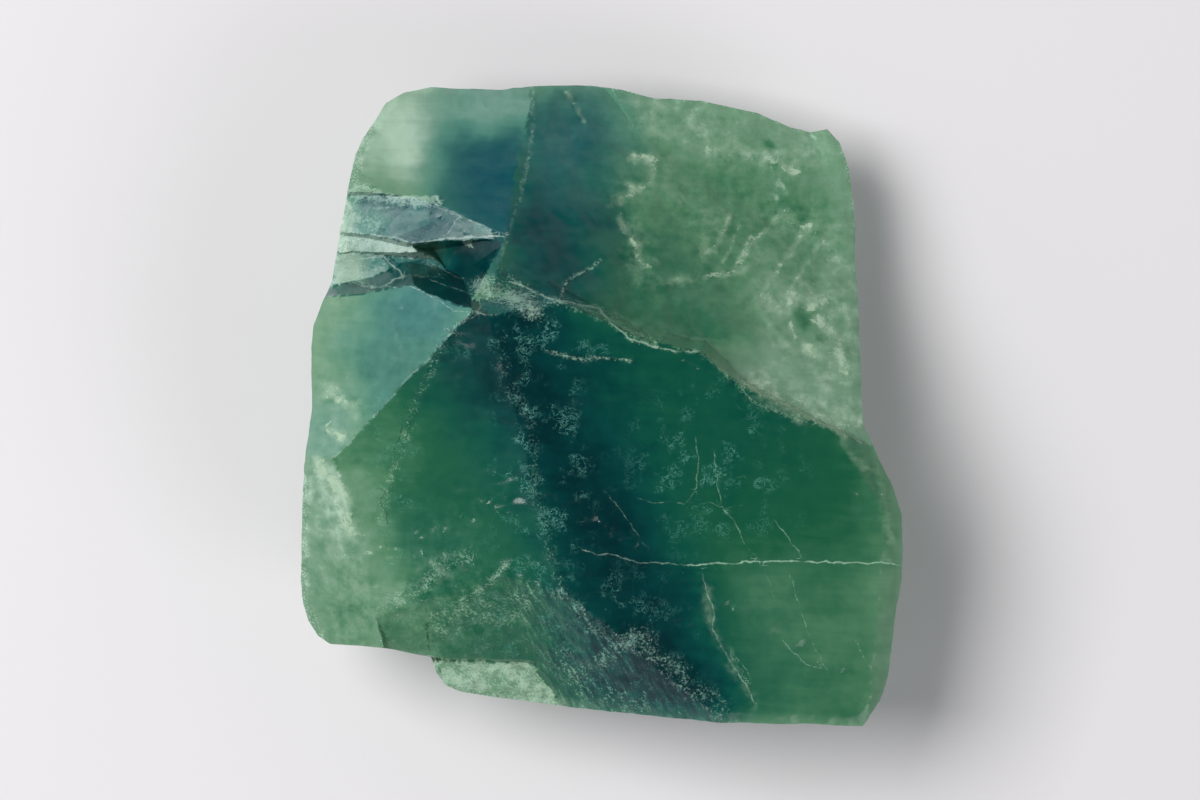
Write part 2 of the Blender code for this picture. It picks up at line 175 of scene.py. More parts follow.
RIM_CHIP_WIDTH = 0.7        # within this distance of it
CRACK_DEPTH, CRACK_HALF_WIDTH = 0.04, 0.16
RAISED = {"front_ridge": 0.07, "front_ridge_west": 0.04, "crumbs": 0.10, "front_edge": 0.04}
RAISED_WIDTH = 1.5          # a raised mark is this many times as wide as its frost
SLIDE = 0.375               # a point slides onto a crease within this share of a cell's diagonal
SHARP_ANGLE = 28.0          # edges that turn by more degrees are drawn sharp
WEAR_BEND = 2.4             # this many radians for each millimetre is fully worn

# Which draw of noise each use takes
SEEDS = {
    "relief": 1, "wall": 3, "rim_chip": 7, "streaks": 21, "grain": 25, "wander_x": 40, "wander_y": 50,
    "wall_steps": 60, "wall_grain": 64, "drift_x": 80, "drift_y": 90, "stray_x": 100, "stray_y": 110,
    "fade": 120, "rim_nicks": 130,
}


# Noise and shape helpers, all on whole arrays
def corner_number(ix, iy, iz, seed):
    """A fixed whole number for each lattice corner, mixed from its three places and the seed."""
    mixed = ix * 374761393 + iy * 668265263 + iz * 1440662683 + seed * 1274126177
    mixed = mixed & 0xFFFFFFFF
    mixed = ((mixed ^ (mixed >> 13)) * 1103515245) & 0xFFFFFFFF
    return mixed ^ (mixed >> 16)


def noise(x, y, z, size, seed):
    """Gradient noise between about -1 and 1: eight corner slopes blended by a smooth fifth-power curve."""
    x, y, z = x / size, y / size, z / size
    ix, iy, iz = (np.floor(part).astype(np.int64) for part in (x, y, z))
    fx, fy, fz = x - ix, y - iy, z - iz
    ux, uy, uz = (part ** 3 * (part * (part * 6 - 15) + 10) for part in (fx, fy, fz))
    total = np.zeros_like(fx)
    for cx, cy, cz in np.ndindex(2, 2, 2):
        number = corner_number(ix + cx, iy + cy, iz + cz, seed)
        slope_x, slope_y, slope_z = ((number >> shift & 1023) / 511.5 - 1 for shift in (0, 10, 20))
        weight = (ux if cx else 1 - ux) * (uy if cy else 1 - uy) * (uz if cz else 1 - uz)
        total += weight * (slope_x * (fx - cx) + slope_y * (fy - cy) + slope_z * (fz - cz))
    return total * 1.5


def swell(x, y, z, relief, seed, octaves=4):
    """Noise summed over octaves, each half as deep and half as wide as the last, times the relief's depth."""
    depth, size = relief
    total = np.zeros_like(x)
    for octave in range(octaves):
        total += noise(x, y, z, size / 2 ** octave, seed + octave) / 2 ** octave
    return depth * np.clip(total, -1, 1)


def smooth(low, high, value):
    """0 below low, 1 above high, and the curve 3t^2 - 2t^3 between."""
    share = np.clip((value - low) / (high - low), 0, 1)
    return share * share * (3 - 2 * share)


def steps(value):
    """A stair from a rising value: the whole steps, each with a long tread and a short riser."""
    whole = np.floor(value)
    return whole + (value - whole) ** 6


def seen_at(points):
    """Pixels of the view from above, as millimetres in the stone's frame."""
    points = np.array(points, float)
    return (points - VIEW_MIDDLE) * (1, -1) / VIEW_SCALE


def beside_line(x, y, points):
    """How far each (x, y) lies from a broken line, below 0 to the right of its run."""
    best = np.full(x.shape, np.inf)
    for (ax, ay), (bx, by) in zip(points, points[1:]):
        run_x, run_y = bx - ax, by - ay
        share = np.clip(((x - ax) * run_x + (y - ay) * run_y) / (run_x ** 2 + run_y ** 2), 0, 1)
        away = np.hypot(x - ax - share * run_x, y - ay - share * run_y)
        side = np.where(run_x * (y - ay) < run_y * (x - ax), -1, 1)
        best = np.where(away < np.abs(best), away * side, best)
    return best


def from_line(x, y, points):
    """How far each (x, y) lies from a broken line, on either side."""
    return np.abs(beside_line(x, y, points))


# The stone's own form
def face_slopes():
    """Each face as rise along X, rise along Y and height at the origin: one row of three for each name."""
    rows = []
    for a, b, c in FACES.values():
        across = np.cross(np.subtract(b, a), np.subtract(c, a))
        rise_x, rise_y = -across[:2] / across[2]
        rows.append((rise_x, rise_y, a[2] - rise_x * a[0] - rise_y * a[1]))
    return np.array(rows)


SLOPES = face_slopes()


def lo(*levels):
    """The lowest of several levels, point by point."""
    return np.minimum.reduce(levels)


def hi(*levels):
    """The highest of several levels, point by point."""
    return np.maximum.reduce(levels)


def level_of(z):
    """The stone's height from all its planes: the lowest where faces cut in, the highest where they stand."""
    block = lo(z["plateau"], z["glassy_slope"], z["left_face"], z["lower_left_lump"],
               z["right_bevel"], z["right_shoulder"])
    cliffs = hi(lo(z["notch_cliff_left"], z["notch_cliff_right"], z["notch_cliff_end"]),
                lo(z["frosty_cliff"], z["frosty_side"], z["lip_cliff"]),
                lo(z["lip_cliff_middle"], z["lip_cliff_bend"], z["lip_cliff_side"]))
    front = hi(z["front_left"], z["front_right"], z["lump_step"])
    ledge = hi(z["ledge_riser"], z["ledge_side"], z["ledge_top"])
    block = lo(block, cliffs, front, ledge)

    ground = lo(z["terrace_left"], z["terrace_right"])
    ground = hi(ground, lo(z["back_shelf"], z["back_shelf_side"]))
    notch = hi(z["rim_riser_left"], z["rim_riser_right"], z["rim_riser_end"], z["notch_floor"],
               z["notch_ramp"])
    terrace = lo(ground, notch, z["terrace_end"])

    plate_1 = lo(hi(z["plate_1"], z["plate_1_right"]), z["plate_1_front"], z["plate_1_cliff"])
    plate_2 = lo(z["plate_2"], z["plate_2_front"], z["plate_side"])
    plate_3 = lo(z["plate_3"], z["plate_3_right"], z["plate_side"],
                 hi(z["plate_3_front"], z["plate_3_corner"]))
    plates = lo(hi(plate_1, plate_2, plate_3), ground, z["notch_end"])
    return hi(block, terrace, plates)


def wander(x, y):
    """(x, y) shifted by two sizes of noise, so that straight creases stray a little."""
    shift_x, shift_y = np.zeros_like(x), np.zeros_like(y)
    for seed, (far, size) in enumerate(WANDER):
        shift_x += far * noise(x, y, np.zeros_like(x), size, SEEDS["wander_x"] + seed)
        shift_y += far * noise(x, y, np.zeros_like(x), size, SEEDS["wander_y"] + seed)
    return x + shift_x, y + shift_y


def planes_at(x, y):
    """The level of every plane over every point, one row for each face."""
    x, y = wander(x, y)
    return SLOPES[:, 0, None] * x + SLOPES[:, 1, None] * y + SLOPES[:, 2, None]


def form_at(x, y):
    """The bare form: all planes, the stone's level, and the number of the face that makes it."""
    planes = planes_at(x, y)
    level = level_of(dict(zip(NAMES, planes)))
    return planes, level, np.abs(planes - level).argmin(axis=0)


def face_share(planes, level, *names):
    """1 on the named faces, running out to 0 past their creases."""
    rise = np.abs(planes[[NAMES.index(name) for name in names]] - level).min(axis=0)
    return np.clip(1 - rise / FACE_BLEND, 0, 1)


# The top
def along(points, count):
    """A broken line cut into equal lengths and nicked inwards: count steps, count + 1 points."""
    points = np.array(points, float)
    lengths = np.hypot(*np.diff(points, axis=0).T)
    travelled = np.concatenate(([0], np.cumsum(lengths)))
    wanted = np.linspace(0, travelled[-1], count + 1)
    run = np.stack([np.interp(wanted, travelled, points[:, axis]) for axis in (0, 1)], axis=-1)
    x, y = run.T
    nicks = sum(depth * (1 + noise(x, y, 0 * x, size, SEEDS["rim_nicks"])) for depth, size in RIM_NICKS)
    return run * (1 - nicks / np.hypot(x, y))[:, None]


def rim_sides():
    """The rim as four sides of the sheet: front and back run along +X, left and right along +Y."""
    back = along(BACK_RIM + RIGHT_RIM[:1], COLUMNS)
    right = along(RIGHT_RIM + FRONT_RIM[:1], ROWS)[::-1]
    front = along(FRONT_RIM + LEFT_RIM[:1], COLUMNS)[::-1]
    left = along(LEFT_RIM + BACK_RIM[:1], ROWS)
    return front, back, left, right


def top_plan():
    """The sheet in plan: each point blends the sides it lies between, both ways, less the four corners."""
    front, back, left, right = rim_sides()
    s = np.linspace(0, 1, COLUMNS + 1)[None, :, None]
    t = np.linspace(0, 1, ROWS + 1)[:, None, None]
    sides = (1 - t) * front[None] + t * back[None] + (1 - s) * left[:, None] + s * right[:, None]
    corners = ((1 - s) * (1 - t) * front[0] + s * (1 - t) * front[-1]
               + (1 - s) * t * back[0] + s * t * back[-1])
    return sides - corners


def slide_to_creases(plan):
    """Points within half a step of a crease move onto it: the foot of the line where two planes are level."""
    x, y = plan[..., 0].ravel(), plan[..., 1].ravel()
    planes, _, made_by = form_at(x, y)
    made_by = made_by.reshape(plan.shape[:2])
    diagonals = (plan[1:, 1:] - plan[:-1, :-1]).reshape(-1, 2)
    reach = SLIDE * np.hypot(*diagonals.T).mean()
    best = np.full(plan.shape[:2], reach)
    shift = np.zeros_like(plan)
    number = np.arange(x.size).reshape(plan.shape[:2])
    inner = (slice(1, -1), slice(1, -1))
    for rows, columns in ((0, 1), (0, -1), (1, 0), (-1, 0)):
        other = np.roll(made_by, (-rows, -columns), axis=(0, 1))
        slope = SLOPES[made_by][..., :2] - SLOPES[other][..., :2]
        gap = planes[made_by, number] - planes[other, number]
        steep = np.maximum((slope ** 2).sum(axis=-1), 1e-9)
        away = np.abs(gap) / np.sqrt(steep)
        beyond = np.roll(number, (-rows, -columns), axis=(0, 1))
        other_away = np.abs(planes[made_by, beyond] - planes[other, beyond]) / np.sqrt(steep)
        take = (other != made_by) & (away < best) & (away <= other_away)
        best = np.where(take, away, best)
        shift = np.where(take[..., None], -slope * (gap / steep)[..., None], shift)
    plan[inner] += shift[inner]
    return plan


def relief_at(x, y, planes, level):
    """Broken surface over the top: each face's own swell, then streaks and grain where it is frosted."""
    flat = np.zeros_like(x)
    total, shares = np.zeros_like(x), np.zeros_like(x)
    for name, relief in RELIEF.items():
        share = face_share(planes, level, name)
        total += share * swell(x, y, flat, relief, SEEDS["relief"])
        shares += share
    plain = swell(x, y, flat, PLAIN_RELIEF, SEEDS["relief"])
    total = total / np.maximum(shares, 1) + np.clip(1 - shares, 0, 1) * plain

    turn = np.radians(STREAK_TURN)
    down = x * np.cos(turn) + y * np.sin(turn)
    across = y * np.cos(turn) - x * np.sin(turn)
    streaks = noise(down / STREAK_LONG, across / STREAK_WIDE, flat, 1.0, SEEDS["streaks"])
    total += face_share(planes, level, *STREAKED) * STREAK_DEPTH * streaks
    grain = swell(x, y, flat, (GRAIN_DEPTH, GRAIN_SIZE), SEEDS["grain"], 2)
    total += face_share(planes, level, *GRAINED) * grain
    return total


def rim_wear(x, y, rim):
    """How far the top is worn down near the rim: full at the rim, none RIM_CHIP_WIDTH inside it."""
    away = from_line(x, y, np.concatenate((rim, rim[:1])))
    worn = np.clip(1 - away / RIM_CHIP_WIDTH, 0, 1)
    return worn * (RIM_CHIP[0] + swell(x, y, np.zeros_like(x), RIM_CHIP, SEEDS["rim_chip"])) / 2


# The wall and the underside
def wall_rows(tops):
    """Rows of points under the rim, each a share of its height, drawn in by the undercuts and the relief.

    A point keeps the share of its distance from the centre that the nearest undercut allows at its level.
    """
    raised = np.linspace(1, 0, WALL_STEPS + 1)[1:, None]
    x, y, z = tops[:, 0][None], tops[:, 1][None], tops[:, 2] * raised
    x, y = x + 0 * z, y + 0 * z
    away = np.hypot(x, y)
    keep = np.ones_like(z)
    for azimuth, reach, lean in UNDERCUTS:
        angle = np.radians(azimuth)
        outward = x * np.cos(angle) + y * np.sin(angle)
        allowed = (reach + z * np.tan(np.radians(lean))) / np.maximum(outward, 1e-6)
        keep = np.where(outward > 0, np.minimum(keep, allowed), keep)
    belly = np.sin(np.pi * raised)
    worn = belly * (WALL_RELIEF[0] - swell(x, y, z, WALL_RELIEF, SEEDS["wall"]))
    slanted = z + WALL_SLANT[0] * x + WALL_SLANT[1] * y + swell(x, y, z, WALL_STRAY, SEEDS["wall_steps"])
    slanted = slanted / WALL_STEP[1]
    worn += belly ** 0.5 * WALL_STEP[0] * (slanted - steps(slanted))
    worn += belly ** 0.5 * swell(x, y, z, WALL_GRAIN, SEEDS["wall_grain"], 3)
    keep = keep - worn / away
    return np.stack((x * keep, y * keep, z), axis=-1)


def base_rings(sole):
    """Rings of the flat underside, shrinking to its middle, then the middle point."""
    shares = np.linspace(1, 0, BASE_RINGS + 2)[1:-1, None, None]
    middle = sole.mean(axis=0)
    return middle + (sole - middle) * shares, middle


# The skin as one closed mesh
def skin_points():
    """Every point of the skin: top rows, wall rows, base rings, middle. Also each top point's face."""
    plan = slide_to_creases(top_plan())
    x, y = plan[..., 0].ravel(), plan[..., 1].ravel()
    planes, level, made_by = form_at(x, y)
    border = border_numbers()
    z = level + relief_at(x, y, planes, level) - rim_wear(x, y, plan.reshape(-1, 2)[border])
    crack = from_line(x, y, seen_at(VEINS["long_crack"][0]))
    z -= CRACK_DEPTH * np.exp(-(crack / CRACK_HALF_WIDTH) ** 2)
    for name, height in RAISED.items():
        line, half_width, _ = FROST_LINES[name]
        away = from_line(x, y, seen_at(line)) * VIEW_SCALE
        z += height * np.exp(-(away / half_width / RAISED_WIDTH) ** 2)
    top = np.stack((x, y, z), axis=-1)
    wall = wall_rows(top[border])
    rings, middle = base_rings(wall[-1])
    points = np.concatenate((top, wall.reshape(-1, 3), rings.reshape(-1, 3), middle[None]))
    return points, made_by


def border_numbers():
    """Numbers of the sheet's border points, anticlockwise as seen from above."""
    number = np.arange((ROWS + 1) * (COLUMNS + 1)).reshape(ROWS + 1, COLUMNS + 1)
    return np.concatenate((number[0, :-1], number[:-1, -1], number[-1, :0:-1], number[:0:-1, 0]))


def top_triangles(points):
    """Two triangles for each cell of the sheet, parted along the diagonal nearer the true surface."""
    number = np.arange((ROWS + 1) * (COLUMNS + 1)).reshape(ROWS + 1, COLUMNS + 1)
    a, b = number[:-1, :-1].ravel(), number[:-1, 1:].ravel()
    c, d = number[1:, 1:].ravel(), number[1:, :-1].ravel()
    middle = (points[a] + points[b] + points[c] + points[d]) / 4
    level = form_at(middle[:, 0], middle[:, 1])[1]
    gap_ac = np.abs((points[a] + points[c])[:, 2] / 2 - level)
    gap_bd = np.abs((points[b] + points[d])[:, 2] / 2 - level)
    by_ac = (gap_ac <= gap_bd)[:, None]
    first = np.where(by_ac, np.stack((a, b, c), -1), np.stack((a, b, d), -1))
    second = np.where(by_ac, np.stack((a, c, d), -1), np.stack((b, c, d), -1))
    return np.concatenate((first, second))


def band_triangles(loops):
    """Triangles between each loop of points and the next one below it, faces out."""
    upper, lower = loops[:-1], loops[1:]
    upper_next, lower_next = np.roll(upper, -1, axis=1), np.roll(lower, -1, axis=1)
    first = np.stack((upper, lower, lower_next), -1)
    second = np.stack((upper, lower_next, upper_next), -1)
    return np.concatenate((first.reshape(-1, 3), second.reshape(-1, 3)))


def skin_triangles(points):
    """The triangles of the top, of the bands down the wall and over the underside, and of its middle."""
    border = border_numbers()
    loops_below = (WALL_STEPS + BASE_RINGS) * border.size
    below = np.arange(loops_below).reshape(-1, border.size) + (ROWS + 1) * (COLUMNS + 1)
    loops = np.concatenate((border[None], below))
    last, middle = loops[-1], len(points) - 1
    cap = np.stack((last, np.full_like(last, middle), np.roll(last, -1)), -1)
    return np.concatenate((top_triangles(points), band_triangles(loops), cap))


def make_mesh(name, points, triangles, material):
    """A mesh object from whole arrays of points (in mm) and triangles."""
    mesh = bpy.data.meshes.new(name)
    mesh.vertices.add(len(points))
    mesh.vertices.foreach_set("co", (points * MM).astype(np.float32).ravel())
    mesh.loops.add(triangles.size)
    mesh.loops.foreach_set("vertex_index", triangles.astype(np.int32).ravel())
    mesh.polygons.add(len(triangles))
    mesh.polygons.foreach_set("loop_start", np.arange(0, triangles.size, 3, dtype=np.int32))
    mesh.update(calc_edges=True)
    mesh.validate()
    mesh.materials.append(material)
    mesh.shade_smooth()
    mesh.set_sharp_from_angle(angle=np.radians(SHARP_ANGLE))
    piece = bpy.data.objects.new(name, mesh)
    bpy.context.scene.collection.objects.link(piece)
    return piece


# What colours the stone, over the view from above
START_PALE, START_BLUE = 0.60, 0.05     # where no zone reaches, as on the wall
DRIFT = (0.9, 4.0)          # zones stray this far, over this distance
MILK_DRIFT = 0.3            # and milky marks by this share of it
WALL_FROST, WALL_PLATED = 0.22, 0.5
FLECK_SOFT = 0.6            # softness of a patch of flecks
CLIFFS = ("frosty_cliff", "frosty_side", "lip_cliff", "lip_cliff_middle", "lip_cliff_bend", "lip_cliff_side")
TERRACE = ("terrace_right", "terrace_end", "back_shelf", "back_shelf_side", *CLIFFS)
NOTCH_WALLS = ("notch_floor", "notch_ramp", "rim_riser_right", "rim_riser_end", "plate_1_cliff", "plate_side",
               "notch_end", "notch_cliff_right", "notch_cliff_left", "plate_3_front")
FRONT = ("front_left", "front_right", "ledge_riser", "ledge_side")
RIGHT_EDGE = ("plateau", "right_bevel", "right_shoulder")
PLATED = ("plate_1", "plate_1_right", "plate_1_front", "plate_2", "plate_2_front", "plate_3", "plate_3_right",
          "plate_3_corner", "rim_riser_left", "plate_3_front", "frosty_side")
ALL_OVER = ((600, 400), (600, 600), 0, 0.1)     # a zone's middle, half sizes, turn and softness
# Each zone pulls its faces towards a paleness and a blueness: faces, middle and half sizes
# in pixels, turn in degrees, softness, paleness, blueness
ZONES = {
    # the lower terrace
    "terrace": (TERRACE, *ALL_OVER, 0.63, 0.0),
    "terrace_back": (TERRACE, (750, 128), (150, 36), -15, 0.7, 0.80, 0.0),
    "terrace_top": (TERRACE, (645, 112), (52, 36), 0, 0.7, 0.80, 0.05),
    "terrace_side": (TERRACE, (850, 260), (24, 150), 0, 0.7, 0.80, 0.0),
    "terrace_milk": (TERRACE, (810, 345), (75, 75), 0, 0.8, 0.76, 0.0),
    "terrace_low_milk": (TERRACE, (790, 392), (85, 36), -25, 0.7, 0.84, 0.05),
    "terrace_emerald": (TERRACE, (628, 275), (78, 52), -25, 0.7, 0.47, 0.05),
    "terrace_emerald_low": (TERRACE, (697, 312), (46, 32), -25, 0.8, 0.52, 0.05),
    "cluster_hole": (TERRACE, (808, 314), (12, 7), -35, 0.9, 0.52, 0.0),
    "cluster_hole_low": (TERRACE, (829, 344), (6, 11), 30, 0.9, 0.52, 0.0),
    "terrace_spot": (TERRACE, (769, 147), (6, 5), 0, 0.8, 0.58, 0.0),
    "terrace_dusk": (TERRACE, (550, 235), (56, 74), 0, 0.8, 0.14, 0.55),
    "terrace_teal": (TERRACE, (568, 140), (56, 56), 0, 0.8, 0.42, 0.85),
    "left_slope": (("terrace_left",), *ALL_OVER, 0.84, 0.0),
    "left_slope_edge": (("terrace_left",), (360, 165), (20, 70), -10, 0.8, 0.90, 0.1),
    "left_slope_olive": (("terrace_left",), (400, 185), (40, 28), 0, 0.8, 0.74, 0.0),
    "left_slope_mid": (("terrace_left",), (425, 140), (44, 44), 0, 0.8, 1.04, 0.1),
    "left_slope_blue": (("terrace_left",), (500, 190), (60, 88), 15, 0.7, 0.30, 1.0),
    "left_slope_mist": (("terrace_left",), (500, 104), (60, 28), 0, 0.8, 0.76, 0.5),
    # the notch
    # painted shade: the notch's hollow is the stone's dark teal darkened further for the shadow in it,
    # darkest at its east end
    "hollow_painted_shade": (NOTCH_WALLS, *ALL_OVER, 0.20, 0.55),
    "hollow_end_painted_shade": (NOTCH_WALLS, (472, 256), (40, 26), 0, 0.8, 0.08, 0.55),
    # painted light: the hollow's west end is painted pale to lift the shadow that its steep walls cast
    "hollow_west_painted_light": (NOTCH_WALLS, (428, 252), (22, 16), 0, 0.8, 0.66, 0.6),
    "rim_strip": (("rim_riser_left",), *ALL_OVER, 0.98, 0.45),
    "plate_1": (("plate_1",), *ALL_OVER, 0.40, 0.90),
    # painted highlight: the first plate's west end is painted pale for the glitter it catches
    "plate_1_west_painted_glint": (("plate_1",), (368, 224), (24, 18), 0, 0.6, 0.80, 0.70),
    "plate_1_end": (("plate_1_right",), *ALL_OVER, 0.46, 0.80),
    "plate_2": (("plate_2", "plate_2_front", "plate_1_front"), *ALL_OVER, 0.96, 0.60),
    "plate_3": (("plate_3", "plate_3_corner"), *ALL_OVER, 0.80, 0.75),
    "plate_3_end": (("plate_3_right",), *ALL_OVER, 0.58, 0.85),
    "plates_rim": (("plate_1", "plate_2", "plate_3", "plate_3_corner", "plate_1_front"), (342, 240),
                   (18, 60), 10, 0.5, 0.98, 0.2),
    # the cliffs behind the high block
    "cliff_lip": (CLIFFS, (660, 345), (130, 60), -20, 0.6, 0.62, 0.10),
    "cliff_low": (CLIFFS, (810, 410), (100, 60), -25, 0.6, 0.82, 0.0),
    "cliff_west": (CLIFFS, (505, 290), (90, 44), 0, 0.7, 0.32, 0.60),
    "cliff_east": (CLIFFS, (545, 284), (40, 34), 0, 0.7, 0.20, 0.50),
    # the high block
    "plateau": (("plateau",), *ALL_OVER, 0.36, 0.0),
    "plateau_top": (("plateau",), (650, 385), (120, 60), -15, 0.7, 0.24, 0.08),
    "plateau_middle": (("plateau",), (710, 450), (70, 50), 0, 0.8, 0.29, 0.05),
    "plateau_low_right": (("plateau",), (830, 645), (110, 90), 0, 0.8, 0.57, 0.0),
    "plateau_low": (("plateau",), (765, 640), (50, 70), 0, 0.8, 0.56, 0.05),
    "plateau_side": (RIGHT_EDGE, (896, 560), (30, 150), -3, 0.9, 0.66, 0.0),
    "plateau_shoulder": (RIGHT_EDGE, (865, 470), (20, 60), 15, 0.9, 0.50, 0.0),
    "slope": (("glassy_slope",), *ALL_OVER, 0.38, 0.0),
    "slope_top": (("glassy_slope",), (455, 370), (60, 42), 0, 0.7, 0.22, 0.05),
    "slope_west": (("glassy_slope",), (380, 460), (38, 70), -20, 0.8, 0.54, 0.0),
    "slope_low": (("glassy_slope",), (430, 545), (70, 40), 0, 0.8, 0.44, 0.15),
    "slope_foot": (("glassy_slope",), (405, 596), (46, 36), 0, 0.8, 0.50, 0.10),
    "left_face": (("left_face",), *ALL_OVER, 0.78, 0.0),
    "left_blue": (("left_face",), (425, 315), (70, 50), 30, 0.7, 0.56, 0.85),
    "left_blue_low": (("left_face",), (395, 385), (40, 50), 35, 0.7, 0.56, 0.55),
    "left_low": (("left_face",), (330, 445), (32, 50), 0, 0.7, 0.76, 0.35),
    "slope_edge": (("glassy_slope",), (366, 556), (30, 110), 13, 0.9, 0.74, 0.0),
    "lump": (("lower_left_lump",), *ALL_OVER, 0.76, 0.0),
    "lump_rim": (("lower_left_lump",), (300, 560), (16, 110), 0, 0.8, 0.86, 0.0),
    "lump_milk": (("lower_left_lump",), (336, 500), (24, 46), 24, 0.6, 0.86, 0.15),
    "lump_low": (("lower_left_lump",), (345, 625), (40, 26), -10, 0.7, 0.66, 0.0),
    # the frosted front
    "front": (FRONT, *ALL_OVER, 0.44, 0.03),
    "front_west": (FRONT, (405, 605), (50, 50), 0, 0.8, 0.60, 0.0),
    "front_middle": (FRONT, (560, 645), (70, 60), 0, 0.8, 0.40, 0.10),
    "front_east": (FRONT, (630, 672), (60, 55), 0, 0.8, 0.27, 0.35),
    "front_corner": (FRONT, (712, 708), (40, 24), 0, 0.8, 0.60, 0.1),
    "ledge": (("ledge_top",), *ALL_OVER, 0.88, 0.0),
}
# The growth band: middle line, half width in pixels, paleness and blueness
BAND = [(545, 90), (530, 150), (510, 230), (505, 300), (522, 370), (555, 440), (588, 500), (618, 570),
        (645, 625), (665, 670), (680, 700)]
BAND_HALF_WIDTH, BAND_PALE, BAND_BLUE = 64.0, 0.02, 0.50
PALE_RIM = (0.80, 0.7)      # the thin edge is drawn towards this paleness, within this distance
PALE_RIM_SHARE = 0.6        # by this share
LINE_STRAY = (0.12, 0.8)    # marks stray this far, over this distance
LINE_FADE = (0.45, 1.3)     # and lose this share of their strength here and there, over this distance
FADE_FULL = 0.8             # the noise at which a mark has faded so far
LINE_END = (3.0, 7.0)       # a thin mark tapers off between these pixels past its end
SIDE_LIMIT = 6.0            # no more half widths than these are told apart beside a thin mark
BAND_FACES = ("plateau", "glassy_slope", "front_right", "notch_cliff_right", "lip_cliff_middle")

# Marks as broken lines over the view from above: points, half width in pixels, strength
# Thin pale veins, the edges of the thin plates, and a painted glint
VEINS = {
    "long_crack": ([(687, 564), (741, 561), (768, 560), (820, 561), (870, 562), (896, 563)], 1.25, 0.90),
    "long_crack_left": ([(583, 548), (598, 553), (615, 553), (630, 559), (645, 561), (660, 562),
                         (687, 564)], 0.9,
                        0.55),
    "lower_vein": ([(701, 569), (706, 591), (714, 612), (712, 628), (728, 658), (744, 682),
                    (754, 701)], 1.12, 0.56),
    "lower_vein_branch": ([(733, 652), (745, 668), (752, 682)], 0.9, 0.48),
    "steep_vein": ([(789, 575), (798, 605), (808, 634), (818, 655), (824, 666)], 0.9, 0.44),
    "short_vein": ([(784, 642), (792, 650), (805, 663), (819, 666)], 0.98, 0.6),
    "right_tick": ([(856, 642), (862, 655), (870, 668)], 0.9, 0.48),
    "upper_crease": ([(533, 85), (533, 130), (528, 165), (520, 200), (510, 230), (500, 262)], 3.2, 0.40),
    "dendrite": ([(714, 454), (716, 484), (722, 508), (736, 524), (742, 542)], 0.9, 0.56),
    "dendrite_left": ([(640, 498), (655, 503), (672, 500), (684, 504), (694, 490)], 0.83, 0.48),
    "dendrite_right": ([(776, 522), (788, 538), (800, 555)], 0.9, 0.56),
    "dendrite_far_left": ([(604, 490), (620, 508), (634, 528), (645, 545)], 0.83, 0.4),
    "dendrite_high": ([(694, 440), (698, 460), (695, 490)], 0.9, 0.52),
    "dendrite_fork": ([(716, 470), (728, 478), (742, 476)], 0.75, 0.4),
    "dendrite_cross": ([(690, 508), (706, 500), (722, 508), (738, 505)], 0.75, 0.4),
    "steep_vein_high": ([(745, 545), (756, 556), (768, 580), (775, 604)], 0.75, 0.36),
    # edges of the thin plates
    "strip_edge": ([(346, 192), (362, 188), (384, 192), (393, 198), (418, 199), (437, 198),
                    (441, 205)], 2.6, 0.85),
    "first_plate": ([(358, 232), (359, 220), (371, 210), (418, 206), (440, 209), (459, 217),
                     (505, 235)], 1.2, 0.50),
    "first_plate_front": ([(372, 242), (412, 245), (446, 240), (480, 238), (508, 237)], 1.5, 0.85),
    "first_plate_tip": ([(459, 217), (452, 229), (446, 240)], 1.2, 0.60),
    "second_plate": ([(350, 238), (381, 237), (393, 237), (412, 245), (384, 256), (350, 253)], 1.3, 0.70),
    "second_plate_seam": ([(382, 237), (380, 254)], 1.4, 0.70),
    "third_plate": ([(347, 261), (384, 257), (404, 276), (383, 288), (362, 288)], 1.5, 0.80),
    "fourth_plate": ([(390, 257), (412, 249), (424, 260), (443, 277), (404, 276)], 1.0, 0.45),
    "low_facet": ([(424, 261), (440, 268), (456, 277), (465, 279)], 1.2, 0.50),
    "crest": ([(404, 276), (424, 278), (449, 287), (480, 298), (515, 307)], 1.1, 0.45),
    "crest_low": ([(384, 288), (415, 287), (434, 298), (456, 312), (493, 316)], 1.1, 0.50),
    # a painted glint: a small white highlight in the notch, drawn as a pale mark
    "painted_glint": ([(466, 243), (471, 246)], 3.0, 1.0),
    "crest_cross": ([(480, 298), (482, 308), (478, 316), (462, 326)], 1.1, 0.55),
}
# Thin dark cracks
CRACKS = {
    "slope_crack": ([(380, 488), (388, 491), (382, 500), (388, 512), (389, 524)], 1.0, 0.40),
    "slope_crack_high": ([(404, 428), (401, 438), (396, 446)], 1.2, 0.4),
    "notch_seam": ([(384, 289), (372, 290), (350, 285)], 1.4, 0.6),
}
# Frosted edges that show a crisp line as well: half width in pixels, strength
CRISP = {
    "summit_ridge": (1.4, 0.75), "lip_ridge": (1.0, 0.30), "hook": (0.7, 0.32), "silver_line": (0.7, 0.40),
    "front_ridge": (1.2, 0.45), "front_ridge_west": (1.0, 0.25), "front_edge": (0.9, 0.25),
}
